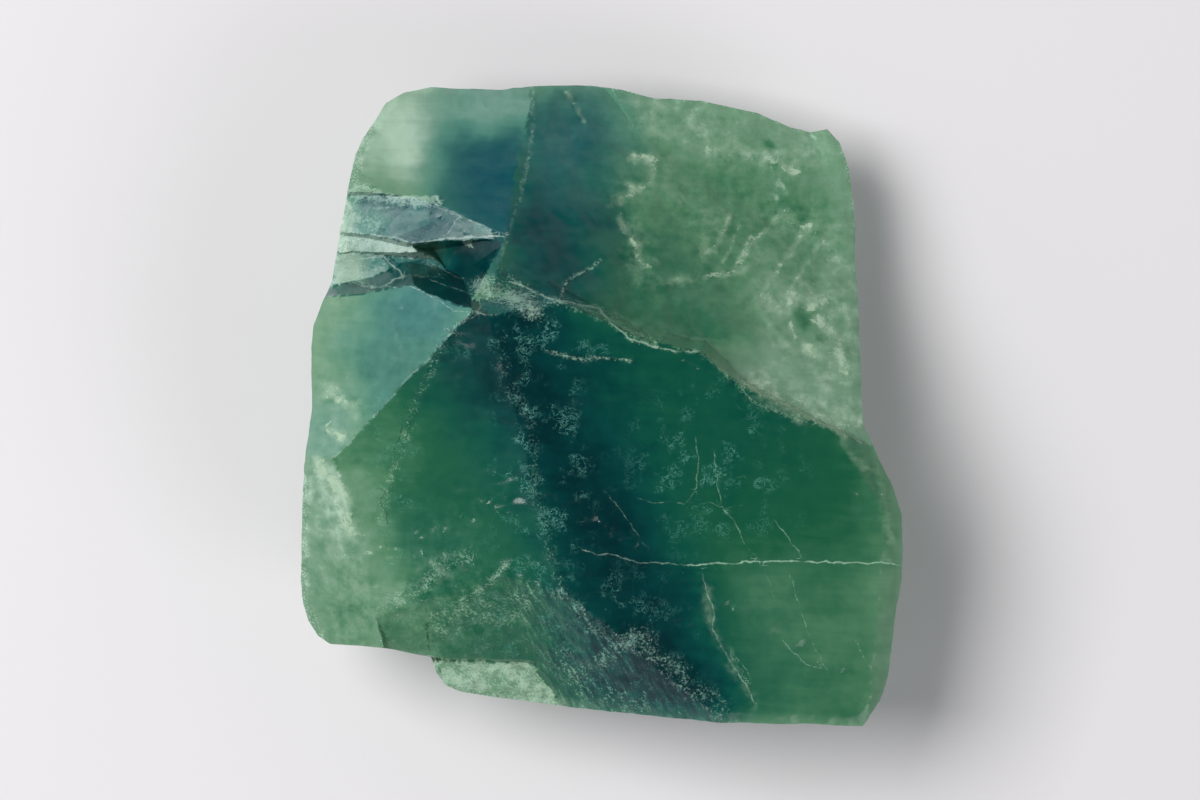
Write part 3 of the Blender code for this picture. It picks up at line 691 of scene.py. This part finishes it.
# Soft frosted marks, one of them a painted highlight on the first plate
FROST_LINES = {
    "summit_ridge": ([(512, 284), (520, 285), (545, 298), (560, 302), (599, 309), (613, 325), (629, 339),
                      (652, 347), (679, 352), (698, 352)], 2.8, 0.55),
    "summit_frost": ([(500, 272), (520, 288), (545, 300), (600, 312), (625, 332), (655, 342)], 7.0, 0.45),
    "summit_facet": ([(482, 286), (503, 294), (524, 302), (534, 312)], 12.0, 0.86),
    "lip_ridge": ([(698, 352), (721, 368), (730, 380), (757, 405), (790, 417), (819, 424), (833, 430),
                   (861, 421)], 4.0, 0.42),
    "hook": ([(560, 302), (565, 285), (575, 276), (590, 270), (600, 262)], 2.4, 0.75),
    "left_rim": ([(374, 118), (360, 150), (353, 185), (350, 215)], 8.0, 0.50),
    # painted highlight: the glitter on the first plate's west end, drawn as frost
    "plate_1_painted_glitter": ([(364, 220), (376, 228)], 12.0, 0.62),
    "plate_3_rim": ([(335, 277), (350, 278), (372, 288)], 5.0, 0.80),
    "rim_strip_end": ([(345, 188), (352, 196), (372, 190)], 7.0, 0.70),
    "rim_strip": ([(352, 196), (385, 199), (415, 204), (438, 202)], 6.0, 0.90),
    "band_wisps": ([(503, 339), (509, 383), (527, 414), (535, 444), (534, 489), (545, 519), (552, 552),
                    (565, 590)], 10.0, 0.30),
    "slope_wisps": ([(445, 345), (422, 390), (408, 435), (390, 485), (380, 520)], 8.0, 0.30),
    "silver_line": ([(547, 351), (567, 357), (583, 360), (600, 358), (631, 361)], 2.4, 0.72),
    "notch_lines_low": ([(476, 313), (466, 322), (448, 330), (462, 336)], 3.0, 0.45),
    "front_ridge": ([(431, 615), (460, 600), (487, 584), (500, 572), (508, 563)], 4.0, 0.55),
    "front_ridge_west": ([(377, 608), (404, 596), (425, 588), (440, 566), (450, 558)], 5.0, 0.42),
    "front_edge": ([(554, 592), (569, 596), (592, 626), (611, 636)], 8.0, 0.42),
    "crumbs": ([(604, 656), (622, 640), (642, 634), (650, 652)], 14.0, 0.50),
    "front_sparkle": ([(446, 622), (470, 606), (500, 612), (520, 598)], 22.0, 0.42),
    "front_wisp": ([(392, 604), (420, 588), (452, 560), (470, 556)], 12.0, 0.40),
    "front_foot": ([(560, 660), (600, 690), (640, 700)], 24.0, 0.34),
    "lump_rim_frost": ([(305, 480), (301, 540), (303, 600), (318, 640)], 9.0, 0.45),
    "front_edge_low": ([(667, 662), (695, 685), (713, 699), (722, 712)], 18.0, 0.36),
}
# Milky marks inside: bright spots, veils, streaks and clouds; and painted sheen, the pale streaks on the left
# face
MILK_AND_SHEEN_LINES = {
    "veil_top": ([(655, 160), (645, 185), (620, 205)], 7.0, 0.72),
    "bright_1": ([(634, 158), (650, 160)], 6.0, 1.0),
    "bright_1_low": ([(628, 182), (634, 190)], 5.0, 0.95),
    "bright_2": ([(630, 240), (638, 246)], 6.0, 1.0),
    "bright_2_low": ([(640, 262), (645, 268)], 4.0, 0.9),
    "bright_3": ([(703, 256), (708, 250)], 4.0, 0.95),
    "bright_4": ([(714, 276), (730, 275)], 4.0, 1.0),
    "bright_5": ([(816, 248), (826, 240)], 5.0, 1.0),
    "bright_5_left": ([(804, 228), (812, 226)], 4.0, 0.9),
    "bright_6": ([(812, 303), (824, 298)], 5.0, 1.0),
    "bright_6_low": ([(845, 305), (850, 318)], 4.0, 0.95),
    "bright_7": ([(786, 166), (800, 172)], 5.0, 0.9),
    "bright_8": ([(766, 158), (776, 162)], 4.0, 0.8),
    "veil": ([(620, 205), (618, 225), (635, 245), (640, 270), (660, 283), (690, 283), (715, 275),
              (745, 270)], 6.0, 0.60),
    "veil_cloud": ([(655, 165), (620, 205), (635, 245), (645, 275)], 22.0, 0.36),
    "veil_right": ([(700, 262), (704, 240), (694, 222)], 8.0, 0.48),
    "far_corner": ([(715, 152), (750, 155), (775, 160), (810, 158)], 13.0, 0.52),
    "right_glints": ([(770, 215), (800, 222), (822, 235), (830, 250)], 20.0, 0.46),
    "right_cluster": ([(775, 300), (800, 292), (830, 300), (838, 330), (835, 365)], 26.0, 0.52),
    "streak_1": ([(712, 250), (732, 215)], 4.5, 0.70),
    "streak_2": ([(740, 262), (775, 215)], 4.5, 0.70),
    "streak_3": ([(770, 280), (800, 235)], 5.0, 0.75),
    "streak_4": ([(735, 268), (752, 238)], 3.0, 0.80),
    "streak_5": ([(762, 292), (792, 250)], 3.0, 0.80),
    "streak_6": ([(782, 300), (806, 262)], 3.0, 0.80),
    "streak_7": ([(722, 262), (740, 228)], 3.0, 0.75),
    "cluster_1": ([(798, 299), (812, 305)], 9.0, 1.0),
    "cluster_2": ([(820, 318), (831, 331)], 8.0, 1.0),
    "cluster_3": ([(838, 352), (842, 372)], 8.0, 0.95),
    "cluster_5": ([(786, 302), (794, 292)], 5.0, 1.0),
    "cluster_6": ([(806, 346), (818, 358)], 6.0, 0.95),
    "cluster_7": ([(790, 322), (796, 334)], 4.0, 0.95),
    "vein_glow": ([(704, 585), (713, 628), (730, 660), (754, 701)], 8.0, 0.42),
    "cluster_4": ([(775, 330), (790, 345)], 14.0, 0.45),
    "middle_clouds": ([(690, 205), (730, 225), (760, 250), (790, 275)], 34.0, 0.30),
    "back_clouds": ([(650, 120), (690, 125), (720, 135)], 24.0, 0.34),
    "lip_bloom": ([(750, 385), (790, 405), (830, 420), (856, 412)], 14.0, 0.66),
    "lump_clouds": ([(330, 480), (345, 560), (350, 620)], 34.0, 0.34),
    "front_clouds": ([(410, 590), (440, 570), (480, 590)], 20.0, 0.30),
    "top_wisp": ([(566, 92), (575, 105), (584, 118)], 4.0, 0.7),
    "shoulder": ([(838, 432), (851, 459), (874, 473), (881, 494), (885, 516), (888, 541)], 7.0, 0.50),
    # painted sheen: pale streaks on the left face, drawn as milk
    "left_face_painted_sheen": ([(322, 382), (360, 412)], 8.0, 0.6),
    "left_face_painted_sheen_1": ([(328, 396), (352, 406)], 7.0, 0.85),
    "left_face_painted_sheen_2": ([(330, 428), (346, 438)], 7.0, 0.95),
    "lump_patch": ([(325, 468), (342, 500), (352, 532)], 12.0, 0.95),
    "lump_crumbs": ([(356, 545), (366, 575)], 6.0, 0.5),
}
# Frosted faces and how thickly
FROSTED = {
    "ledge_top": 0.56, "plate_1": 0.12, "plate_2": 0.30, "plate_3": 0.34, "plate_3_right": 0.25,
    "plate_1_front": 0.6, "plate_2_front": 0.6, "plate_3_corner": 0.5, "plate_1_right": 0.15,
    "frosty_cliff": 0.03, "lip_cliff": 0.04, "lip_cliff_middle": 0.04, "lip_cliff_bend": 0.06,
    "front_left": 0.18, "front_right": 0.18, "lower_left_lump": 0.12, "rim_riser_left": 0.60,
    "left_face": 0.04, "terrace_right": 0.05, "back_shelf": 0.12,
}
# Flecks: middle, half sizes in pixels, strength
FLECKS = {
    "plateau": ((712, 470), (75, 75), 0.8), "band": ((540, 470), (45, 120), 1.0),
    "summit": ((540, 330), (90, 35), 0.9), "slope": ((395, 480), (30, 90), 0.5),
    "front": ((560, 630), (120, 60), 0.8),
}


def in_zone(x, y, middle, half_sizes, turn=0.0, soft=0.5):
    """1 inside a turned ellipse and 0 outside, changing over the soft share of its radius."""
    (middle_x, middle_y), angle = seen_at([middle])[0], np.radians(turn)
    dx, dy = x - middle_x, y - middle_y
    u = (dx * np.cos(angle) + dy * np.sin(angle)) * VIEW_SCALE / half_sizes[0]
    v = (dy * np.cos(angle) - dx * np.sin(angle)) * VIEW_SCALE / half_sizes[1]
    return 1 - smooth(1 - soft, 1 + soft, np.hypot(u, v))


def strayed(x, y):
    """(x, y) shifted by noise, so that a mark strays, and the share of its strength that it keeps there."""
    flat = np.zeros_like(x)
    shift_x = swell(x, y, flat, LINE_STRAY, SEEDS["stray_x"])
    shift_y = swell(x, y, flat, LINE_STRAY, SEEDS["stray_y"])
    x, y = x + shift_x, y + shift_y
    fading = smooth(0.0, FADE_FULL, noise(x, y, flat, LINE_FADE[1], SEEDS["fade"]))
    return x, y, 1 - LINE_FADE[0] * fading


def near_lines(x, y, lines):
    """Strength of the nearest mark: a bell curve of the distance over its half width, fading in and out."""
    x, y, fading = strayed(x, y)
    total = np.zeros_like(x)
    for points, half_width, strength in lines.values():
        away = from_line(x, y, seen_at(points)) * VIEW_SCALE
        total = np.maximum(total, strength * fading * np.exp(-(away / half_width) ** 2))
    return total


def thin_marks(x, y, lines):
    """For marks thinner than the mesh: how far beside the nearest one a point lies, in its half widths, and
    its strength. The skin's shader draws the mark where the first number is near 0.
    """
    x, y, fading = strayed(x, y)
    nearest = np.full_like(x, np.inf)
    beside, share = np.zeros_like(x), np.zeros_like(x)
    for points, half_width, strength in lines:
        side = beside_line(x, y, seen_at(points)) * VIEW_SCALE
        closer = np.abs(side) < nearest
        nearest = np.where(closer, np.abs(side), nearest)
        beside = np.where(closer, side / half_width, beside)
        share = np.where(closer, strength * fading * (1 - smooth(*LINE_END, np.abs(side))), share)
    return np.clip(beside, -SIDE_LIMIT, SIDE_LIMIT), share


def on_faces(face, names):
    """True where a point's face is one of the named ones."""
    return np.isin(face, [NAMES.index(name) for name in names])


def paint_skin(points, made_by, rim_distance):
    """The stone's attributes, one number for each point: how pale, blue, frosted, milky (painted sheen among
    it), flecked, streaked and plated it is, and the nearest thin mark's strength and the distance beside it.
    """
    x, y, z = points.T
    top = made_by.size
    on_top = np.arange(len(points)) < top
    face = np.full(len(points), -1)
    face[:top] = made_by
    drift_x = x + swell(x, y, z, DRIFT, SEEDS["drift_x"])
    drift_y = y + swell(x, y, z, DRIFT, SEEDS["drift_y"])

    pale, blue = np.full(len(points), START_PALE), np.full(len(points), START_BLUE)
    for faces, middle, half_sizes, turn, soft, zone_pale, zone_blue in ZONES.values():
        share = in_zone(drift_x, drift_y, middle, half_sizes, turn, soft)
        share = share * on_faces(face, faces)
        pale += (zone_pale - pale) * share
        blue += (zone_blue - blue) * share
    away = from_line(drift_x, drift_y, seen_at(BAND)) * VIEW_SCALE
    share = np.exp(-(away / BAND_HALF_WIDTH) ** 2)
    share = share * np.where(on_top, on_faces(face, BAND_FACES), 1.0)
    pale += (BAND_PALE - pale) * share
    blue += (BAND_BLUE - blue) * share

    rim = np.exp(-rim_distance / PALE_RIM[1])
    pale[:top] += np.maximum(PALE_RIM[0] - pale[:top], 0) * PALE_RIM_SHARE * rim

    frost = np.where(on_top, 0.0, WALL_FROST)
    for name, amount in FROSTED.items():
        frost[face == NAMES.index(name)] = amount
    frost = np.maximum(frost, np.where(on_top, near_lines(x, y, FROST_LINES), 0))
    crisp = [(FROST_LINES[name][0], *drawn) for name, drawn in CRISP.items()]
    dark = [(points, half_width, -strength) for points, half_width, strength in CRACKS.values()]
    vein_side, vein = thin_marks(x, y, [*VEINS.values(), *crisp, *dark])
    streaky = on_faces(face, STREAKED)
    plated = np.where(on_top, on_faces(face, PLATED) * 1.0, WALL_PLATED)
    milk_x = drift_x * MILK_DRIFT + x * (1 - MILK_DRIFT)
    milk_y = drift_y * MILK_DRIFT + y * (1 - MILK_DRIFT)
    milk = np.where(on_top, near_lines(milk_x, milk_y, MILK_AND_SHEEN_LINES), 0)
    fleck = np.zeros(len(points))
    for middle, half_sizes, strength in FLECKS.values():
        fleck = np.maximum(fleck, strength * in_zone(x, y, middle, half_sizes, 0, FLECK_SOFT) * on_top)
    return {"pale": pale, "blue": blue, "frost": frost, "vein": vein * on_top, "vein_side": vein_side,
            "milk": milk, "fleck": fleck, "streaky": streaky, "plated": plated}


def edge_wear(mesh):
    """How sharply the skin bends outwards at each point: turn of the normal over length, by its edges."""
    count = len(mesh.vertices)
    place, facing = np.empty(count * 3, np.float32), np.empty(count * 3, np.float32)
    ends = np.empty(len(mesh.edges) * 2, np.int32)
    mesh.vertices.foreach_get("co", place)
    mesh.vertex_normals.foreach_get("vector", facing)
    mesh.edges.foreach_get("vertices", ends)
    place, facing, ends = place.reshape(-1, 3) / MM, facing.reshape(-1, 3), ends.reshape(-1, 2)
    run = place[ends[:, 0]] - place[ends[:, 1]]
    turn = facing[ends[:, 0]] - facing[ends[:, 1]]
    bend = (run * turn).sum(axis=1) / np.maximum((run ** 2).sum(axis=1), 1e-9)
    total = np.bincount(ends.ravel(), np.repeat(bend, 2), count)
    return np.clip(total / np.bincount(ends.ravel(), minlength=count) / WEAR_BEND, 0, 1)


def add_attributes(mesh, attributes):
    """Gives the mesh one named number for each point, for its material to read."""
    for name, numbers in attributes.items():
        layer = mesh.attributes.new(name, "FLOAT", "POINT")
        layer.data.foreach_set("value", numbers.astype(np.float32))


# Materials
class Value:
    """A number in a material: each operator adds the Math node for it."""

    def __init__(self, finish, socket):
        self.finish, self.socket = finish, socket

    def math(self, operation, *others):
        """The result of one Math node on this value and the others."""
        values = dict(enumerate((self, *others)))
        node = self.finish.node("ShaderNodeMath", {"operation": operation}, values)
        return Value(self.finish, node.outputs[0])

    def __add__(self, other):
        return self.math("ADD", other)

    def __mul__(self, other):
        return self.math("MULTIPLY", other)

    def __sub__(self, other):
        return self.math("SUBTRACT", other)

    def __rsub__(self, other):
        return (self * -1).math("ADD", other)

    def __abs__(self):
        return self.math("ABSOLUTE")

    __radd__, __rmul__ = __add__, __mul__

    def or_more(self, other):
        """The greater of two values."""
        return self.math("MAXIMUM", other)

    def or_less(self, other):
        """The smaller of two values."""
        return self.math("MINIMUM", other)

    def between(self, low, high):
        """0 below low and 1 above high, smooth between."""
        values = {"Value": self, "From Min": low, "From Max": high}
        node = self.finish.node("ShaderNodeMapRange", {"interpolation_type": "SMOOTHSTEP"}, values)
        return Value(self.finish, node.outputs[0])


class Finish:
    """The nodes of a material or a world: node() adds any node, the other methods give what is often used."""

    def __init__(self, owner, output="ShaderNodeOutputMaterial"):
        owner.use_nodes = True
        self.owner, self.tree = owner, owner.node_tree
        self.tree.nodes.clear()
        self.output = self.node(output)

    def node(self, kind, settings=None, values=None):
        """One node: its settings first, a ramp's blend and stops among them, then values or links."""
        node = self.tree.nodes.new(kind)
        for name, setting in (settings or {}).items():
            if name == "blend":
                node.color_ramp.interpolation = setting
            elif name == "stops":
                elements = node.color_ramp.elements
                while len(elements) < len(setting):
                    elements.new(1.0)
                for element, (position, tint) in zip(elements, setting):
                    element.position, element.color = position, tint
            else:
                setattr(node, name, setting)
        for name, value in (values or {}).items():
            value = getattr(value, "socket", value)
            if isinstance(value, bpy.types.NodeSocket):
                self.tree.links.new(value, node.inputs[name])
            else:
                node.inputs[name].default_value = value
        return node

    def show(self, node, socket="Surface"):
        """Links a shader to the output."""
        self.tree.links.new(node.outputs[0], self.output.inputs[socket])

    def attribute(self, name):
        """A number that each point of the mesh holds."""
        return Value(self, self.node("ShaderNodeAttribute", {"attribute_name": name}).outputs["Fac"])

    def place(self, scale=1.0, turn=0.0, stretch=(1.0, 1.0, 1.0)):
        """Object coordinates in millimetres, turned about Z and stretched."""
        objects = self.node("ShaderNodeTexCoord").outputs["Object"]
        size = [part * scale / MM for part in stretch]
        turned = self.node("ShaderNodeMapping", {"vector_type": "TEXTURE"},
                           {"Vector": objects, "Rotation": (0.0, 0.0, float(np.radians(turn)))})
        return self.node("ShaderNodeVectorMath", {"operation": "MULTIPLY"},
                         {0: turned.outputs[0], 1: size}).outputs[0]

    def noise(self, place, scale, detail=3.0, roughness=0.55, distortion=0.0):
        """Fractal noise, mostly near 0.5."""
        node = self.node("ShaderNodeTexNoise", {}, {
            "Vector": place, "Scale": scale, "Detail": detail, "Roughness": roughness,
            "Distortion": distortion})
        return Value(self, node.outputs["Fac"])

    def cells(self, place, scale):
        """Irregular cells: each cell's own number, 0 to 1, and the distance to its middle."""
        node = self.node("ShaderNodeTexVoronoi", {"feature": "F1"}, {"Vector": place, "Scale": scale})
        parts = self.node("ShaderNodeSeparateColor", {}, {0: node.outputs["Color"]})
        return Value(self, parts.outputs[0]), Value(self, node.outputs["Distance"])

    def mix(self, share, first, second):
        """A colour between two, at the second where the share is 1."""
        return self.node("ShaderNodeMix", {"data_type": "RGBA"}, {0: share, 6: first, 7: second}).outputs[2]

    def ramp(self, value, stops, blend="LINEAR"):
        """A colour read off a ramp of (position, colour) stops."""
        node = self.node("ShaderNodeValToRGB", {"blend": blend, "stops": stops}, {"Fac": value})
        return node.outputs["Color"]


def colour(red, green, blue, gain=1.0):
    """A display colour, 0 to 255, as the linear colour that a shader takes, times a gain."""
    parts = np.array((red, green, blue)) / 255
    linear = np.where(parts <= 0.04045, parts / 12.92, ((parts + 0.055) / 1.055) ** 2.4)
    return (*(linear * gain).tolist(), 1.0)


STONE_GAIN = 1.45           # for the light that goes in and doesn't come out again


def stops(*tones):
    """Ramp stops from (position, red, green, blue) as the lit stone shows them."""
    return [(tone[0], colour(*tone[1:], STONE_GAIN)) for tone in tones]


GREEN_STOPS = stops(
    (0.0, 0, 44, 42), (0.15, 4, 64, 54), (0.25, 12, 80, 60), (0.40, 28, 91, 63), (0.52, 52, 107, 77),
    (0.64, 80, 128, 94), (0.82, 114, 150, 122), (1.0, 166, 194, 170))
BLUE_STOPS = stops(
    (0.0, 0, 42, 50), (0.25, 2, 74, 84), (0.45, 38, 96, 98), (0.70, 81, 139, 135), (1.0, 168, 192, 188))
FROST_GREEN = colour(150, 182, 156, STONE_GAIN)
FROST_BLUE = colour(160, 192, 182, STONE_GAIN)
MILK_AND_SHEEN = colour(166, 192, 164, STONE_GAIN)
VEIN_GREEN = colour(160, 196, 170, STONE_GAIN)
VEIN_BLUE = colour(186, 204, 200, STONE_GAIN)
CRACK = colour(10, 30, 24)
FLECK = colour(112, 178, 164, STONE_GAIN)
# the white of the bright points: frost specks and painted glints
SPARKLE = colour(196, 226, 214)

STONE_IOR = 1.434
TRANSMISSION = 0.45
SPECULAR = 0.32
ABSORPTION_COLOUR = (0.30, 0.72, 0.60, 1.0)
ABSORPTION_DENSITY = 60.0   # for each metre
GLASSY, FROSTY = 0.20, 0.62     # roughness of a clean face and of a frosted one
BUMP, BUMP_DEPTH = 0.75, 0.12
LAYER_TURN, SLAB_TURN = -3.0, 12.0


def crystal():
    """Green fluorite: zoned colour from two ramps, some zones painted shade and highlight, frost and milk
    over it with painted sheen and glints, and glassy or sugary skin.
    """
    f = Finish(bpy.data.materials.new("green_fluorite"))
    place = f.place()
    pale, blue, frost = f.attribute("pale"), f.attribute("blue"), f.attribute("frost")
    vein, vein_side, milk, fleck = (f.attribute(name) for name in ("vein", "vein_side", "milk", "fleck"))
    streaky, plated = f.attribute("streaky"), f.attribute("plated")
    worn = f.attribute("wear").between(0.3, 1.0)

    # five sizes of noise, each about 0: wide clouds, fine clouds, streaks, growth layers and sugary grain
    cloud = f.noise(place, 0.28, 3.0, 0.6) - 0.5
    fine_cloud = f.noise(place, 1.1, 4.0, 0.6) - 0.5
    streak = f.noise(f.place(1.0, STREAK_TURN, (0.55, 3.4, 1.0)), 1.0, 4.0, 0.65) - 0.5
    layers = f.noise(f.place(1.0, LAYER_TURN, (0.14, 1.4, 0.5)), 1.0, 2.0, 0.6) - 0.5
    grains = f.noise(place, 5.2, 4.0, 0.7)
    grain = grains - 0.5

    # how pale the stone is
    tone = pale + cloud * 0.22 + fine_cloud * (milk * 0.9 + 0.10)
    tone = tone + streak * streaky + layers * 0.12 + (grain * 0.9 + fine_cloud * 1.2) * frost

    # small broken plates, each a little lighter or darker
    slab, _ = f.cells(f.place(0.36, SLAB_TURN, (0.8, 2.0, 1.2)), 1.0)
    tone = tone + (slab - 0.5) * plated * 0.24
    stone = f.mix(blue, f.ramp(tone, GREEN_STOPS), f.ramp(tone, BLUE_STOPS))

    # milky veils inside, and the painted sheen streaks on the left face
    ragged = (f.noise(place, 0.8, 4.0, 0.62) - 0.5) * 2.0
    veil = (milk + ragged).between(0.15, 1.10) * milk.between(0.02, 0.30)
    lumpy = (f.noise(place, 1.4, 4.0, 0.68, 0.5) - 0.5) * 2.6
    curd = (milk + lumpy).between(0.72, 1.10)
    milk_and_sheen_share = (veil * 0.42 + curd * 0.60).or_less(1.0)
    stone = f.mix(milk_and_sheen_share, stone, MILK_AND_SHEEN)

    # frosted breaks: streaks that run down the front, and sugary grain
    rime = frost + worn * 0.35 + streak * streaky * 1.3
    rime = (rime + grain * 2.8 + fine_cloud).between(0.30, 1.20)
    frosty = rime * (frost + worn * 0.8).between(0.06, 0.35)
    stone = f.mix(frosty * 0.75, stone, f.mix(blue, FROST_GREEN, FROST_BLUE))

    # thin white veins and the painted glint, broken here and there
    breaks = f.noise(place, 2.2, 2.0, 0.6) - 0.5
    wiggle = (f.noise(place, 3.4, 3.0, 0.6) - 0.5) * 2.4
    across = (1.0 - abs(vein_side + wiggle)).between(0.0, 0.9)
    line = (vein + breaks).between(0.20, 1.15) * across * vein.between(0.0, 0.1)
    stone = f.mix(line * 0.8, stone, f.mix(blue, VEIN_GREEN, VEIN_BLUE))
    stone = f.mix((0.0 - vein).between(0.0, 0.9) * across, stone, CRACK)

    # small curling flecks, and bright points: white frost specks that are partly painted glints
    curl = abs(f.noise(place, 2.1, 4.0, 0.65, 1.0) - 0.5)
    gate = f.noise(place, 0.62, 2.0, 0.6).between(0.50, 0.64)
    curls = (0.030 - curl).between(0.0, 0.025) * gate * fleck
    stone = f.mix(curls * 0.6, stone, FLECK)
    chosen, away = f.cells(place, 2.6)
    specks_and_glints = (0.20 - away).between(0.0, 0.10) * (chosen + frosty * 0.3).between(0.84, 0.90)
    specks_and_glints = specks_and_glints * (frosty * 1.8).or_less(1.0) * (gate * 0.7 + 0.3)
    stone = f.mix(specks_and_glints, stone, SPARKLE)

    rough = frosty.or_more(milk_and_sheen_share * 0.5).or_more(line * 0.7) * (FROSTY - GLASSY) + GLASSY
    rough = rough + fine_cloud * 0.08

    # grain where it is frosted or worn, and fine ribs down the front
    sugar = (frost * 0.7 + worn * 0.25 + 0.06).or_less(0.6)
    ribs = f.noise(f.place(1.0, STREAK_TURN, (0.5, 5.0, 1.0)), 1.0, 2.0)
    height = grains * sugar + ribs * (streaky * 0.4 + 0.02)
    bump = f.node("ShaderNodeBump", {}, {"Strength": BUMP, "Distance": BUMP_DEPTH * MM, "Height": height})

    shader = f.node("ShaderNodeBsdfPrincipled", {}, {
        "Base Color": stone, "Roughness": rough, "Metallic": 0.0, "IOR": STONE_IOR,
        "Specular IOR Level": SPECULAR, "Transmission Weight": TRANSMISSION, "Normal": bump.outputs[0]})
    depth = f.node("ShaderNodeVolumeAbsorption", {}, {
        "Color": ABSORPTION_COLOUR, "Density": ABSORPTION_DENSITY})
    f.show(shader)
    f.show(depth, "Volume")
    return f.owner


def make_skin():
    """The stone's skin, with everything that its material reads."""
    points, made_by = skin_points()
    skin = make_mesh("fluorite_skin", points, skin_triangles(points), crystal())
    rim = points[border_numbers(), :2]
    top = points[:made_by.size]
    rim_distance = from_line(top[:, 0], top[:, 1], np.concatenate((rim, rim[:1])))
    attributes = paint_skin(points, made_by, rim_distance)
    attributes["wear"] = edge_wear(skin.data)
    add_attributes(skin.data, attributes)
    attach(skin, "root")
    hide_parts("fluorite")
    return skin


# The stage
FLOOR_SIZE = 3.0            # metres
FLOOR_COLOUR, FLOOR_ROUGHNESS = colour(209, 205, 207), 0.85
LENS, SENSOR = 300.0, 36.0
FOCUS_HEIGHT = 10.0         # the view's scale holds at this height
# The room's light from straight above and from all round, and the heights between which it changes
OVERHEAD, ALL_ROUND = (0.035, 0.037, 0.04, 1.0), (0.70, 0.72, 0.75, 1.0)
ROOM_HEIGHTS = (0.25, 0.90)
# Lamps aimed at the stone: place and size in metres, power in watts, colour
LIGHTS = {
    "key": ((-0.345, 0.125, 0.53), 0.40, 5.0, (0.985, 1.0, 0.99)),
    "fill": ((0.48, -0.46, 0.36), 0.46, 1.9, (0.97, 0.99, 1.0)),
}


def make_floor():
    """A plain pale square under the stone."""
    f = Finish(bpy.data.materials.new("pale_paper"))
    f.show(f.node("ShaderNodeBsdfPrincipled", {}, {"Base Color": FLOOR_COLOUR, "Roughness": FLOOR_ROUGHNESS}))
    mesh = bpy.data.meshes.new("floor")
    half = FLOOR_SIZE / 2
    corners = [(-half, -half, 0), (half, -half, 0), (half, half, 0), (-half, half, 0)]
    mesh.from_pydata(corners, [], [(0, 1, 2, 3)])
    mesh.materials.append(f.owner)
    floor = bpy.data.objects.new("floor", mesh)
    bpy.context.scene.collection.objects.link(floor)


def make_lights():
    """The lamps, and a room that is bright all round and dark straight above."""
    for name, (place, size, power, tint) in LIGHTS.items():
        light = bpy.data.lights.new(name, "AREA")
        light.size, light.energy, light.color = size, power, tint
        lamp = bpy.data.objects.new(name, light)
        lamp.location = place
        lamp.rotation_euler = (-Vector(place)).to_track_quat("-Z", "Y").to_euler()
        bpy.context.scene.collection.objects.link(lamp)
    f = Finish(bpy.data.worlds.new("soft_room"), "ShaderNodeOutputWorld")
    way = f.node("ShaderNodeSeparateXYZ", {}, {0: f.node("ShaderNodeTexCoord").outputs["Generated"]})
    glow = f.ramp(way.outputs["Z"], list(zip(ROOM_HEIGHTS, (ALL_ROUND, OVERHEAD))), "EASE")
    f.show(f.node("ShaderNodeBackground", {}, {"Color": glow}))
    bpy.context.scene.world = f.owner


def make_camera():
    """Straight above, far enough for the view's width to hold at the focus height."""
    data = bpy.data.cameras.new("camera")
    data.lens, data.sensor_width = LENS, SENSOR
    camera = bpy.data.objects.new("camera", data)
    width = VIEW_WIDTH / VIEW_SCALE
    x, y = seen_at([VIEW_CENTRE])[0]
    camera.location = (x * MM, y * MM, (FOCUS_HEIGHT + width * LENS / SENSOR) * MM)
    bpy.context.scene.collection.objects.link(camera)
    bpy.context.scene.camera = camera


make_skin()
make_floor()
make_lights()
make_camera()
bpy.context.scene.view_settings.view_transform = "Standard"
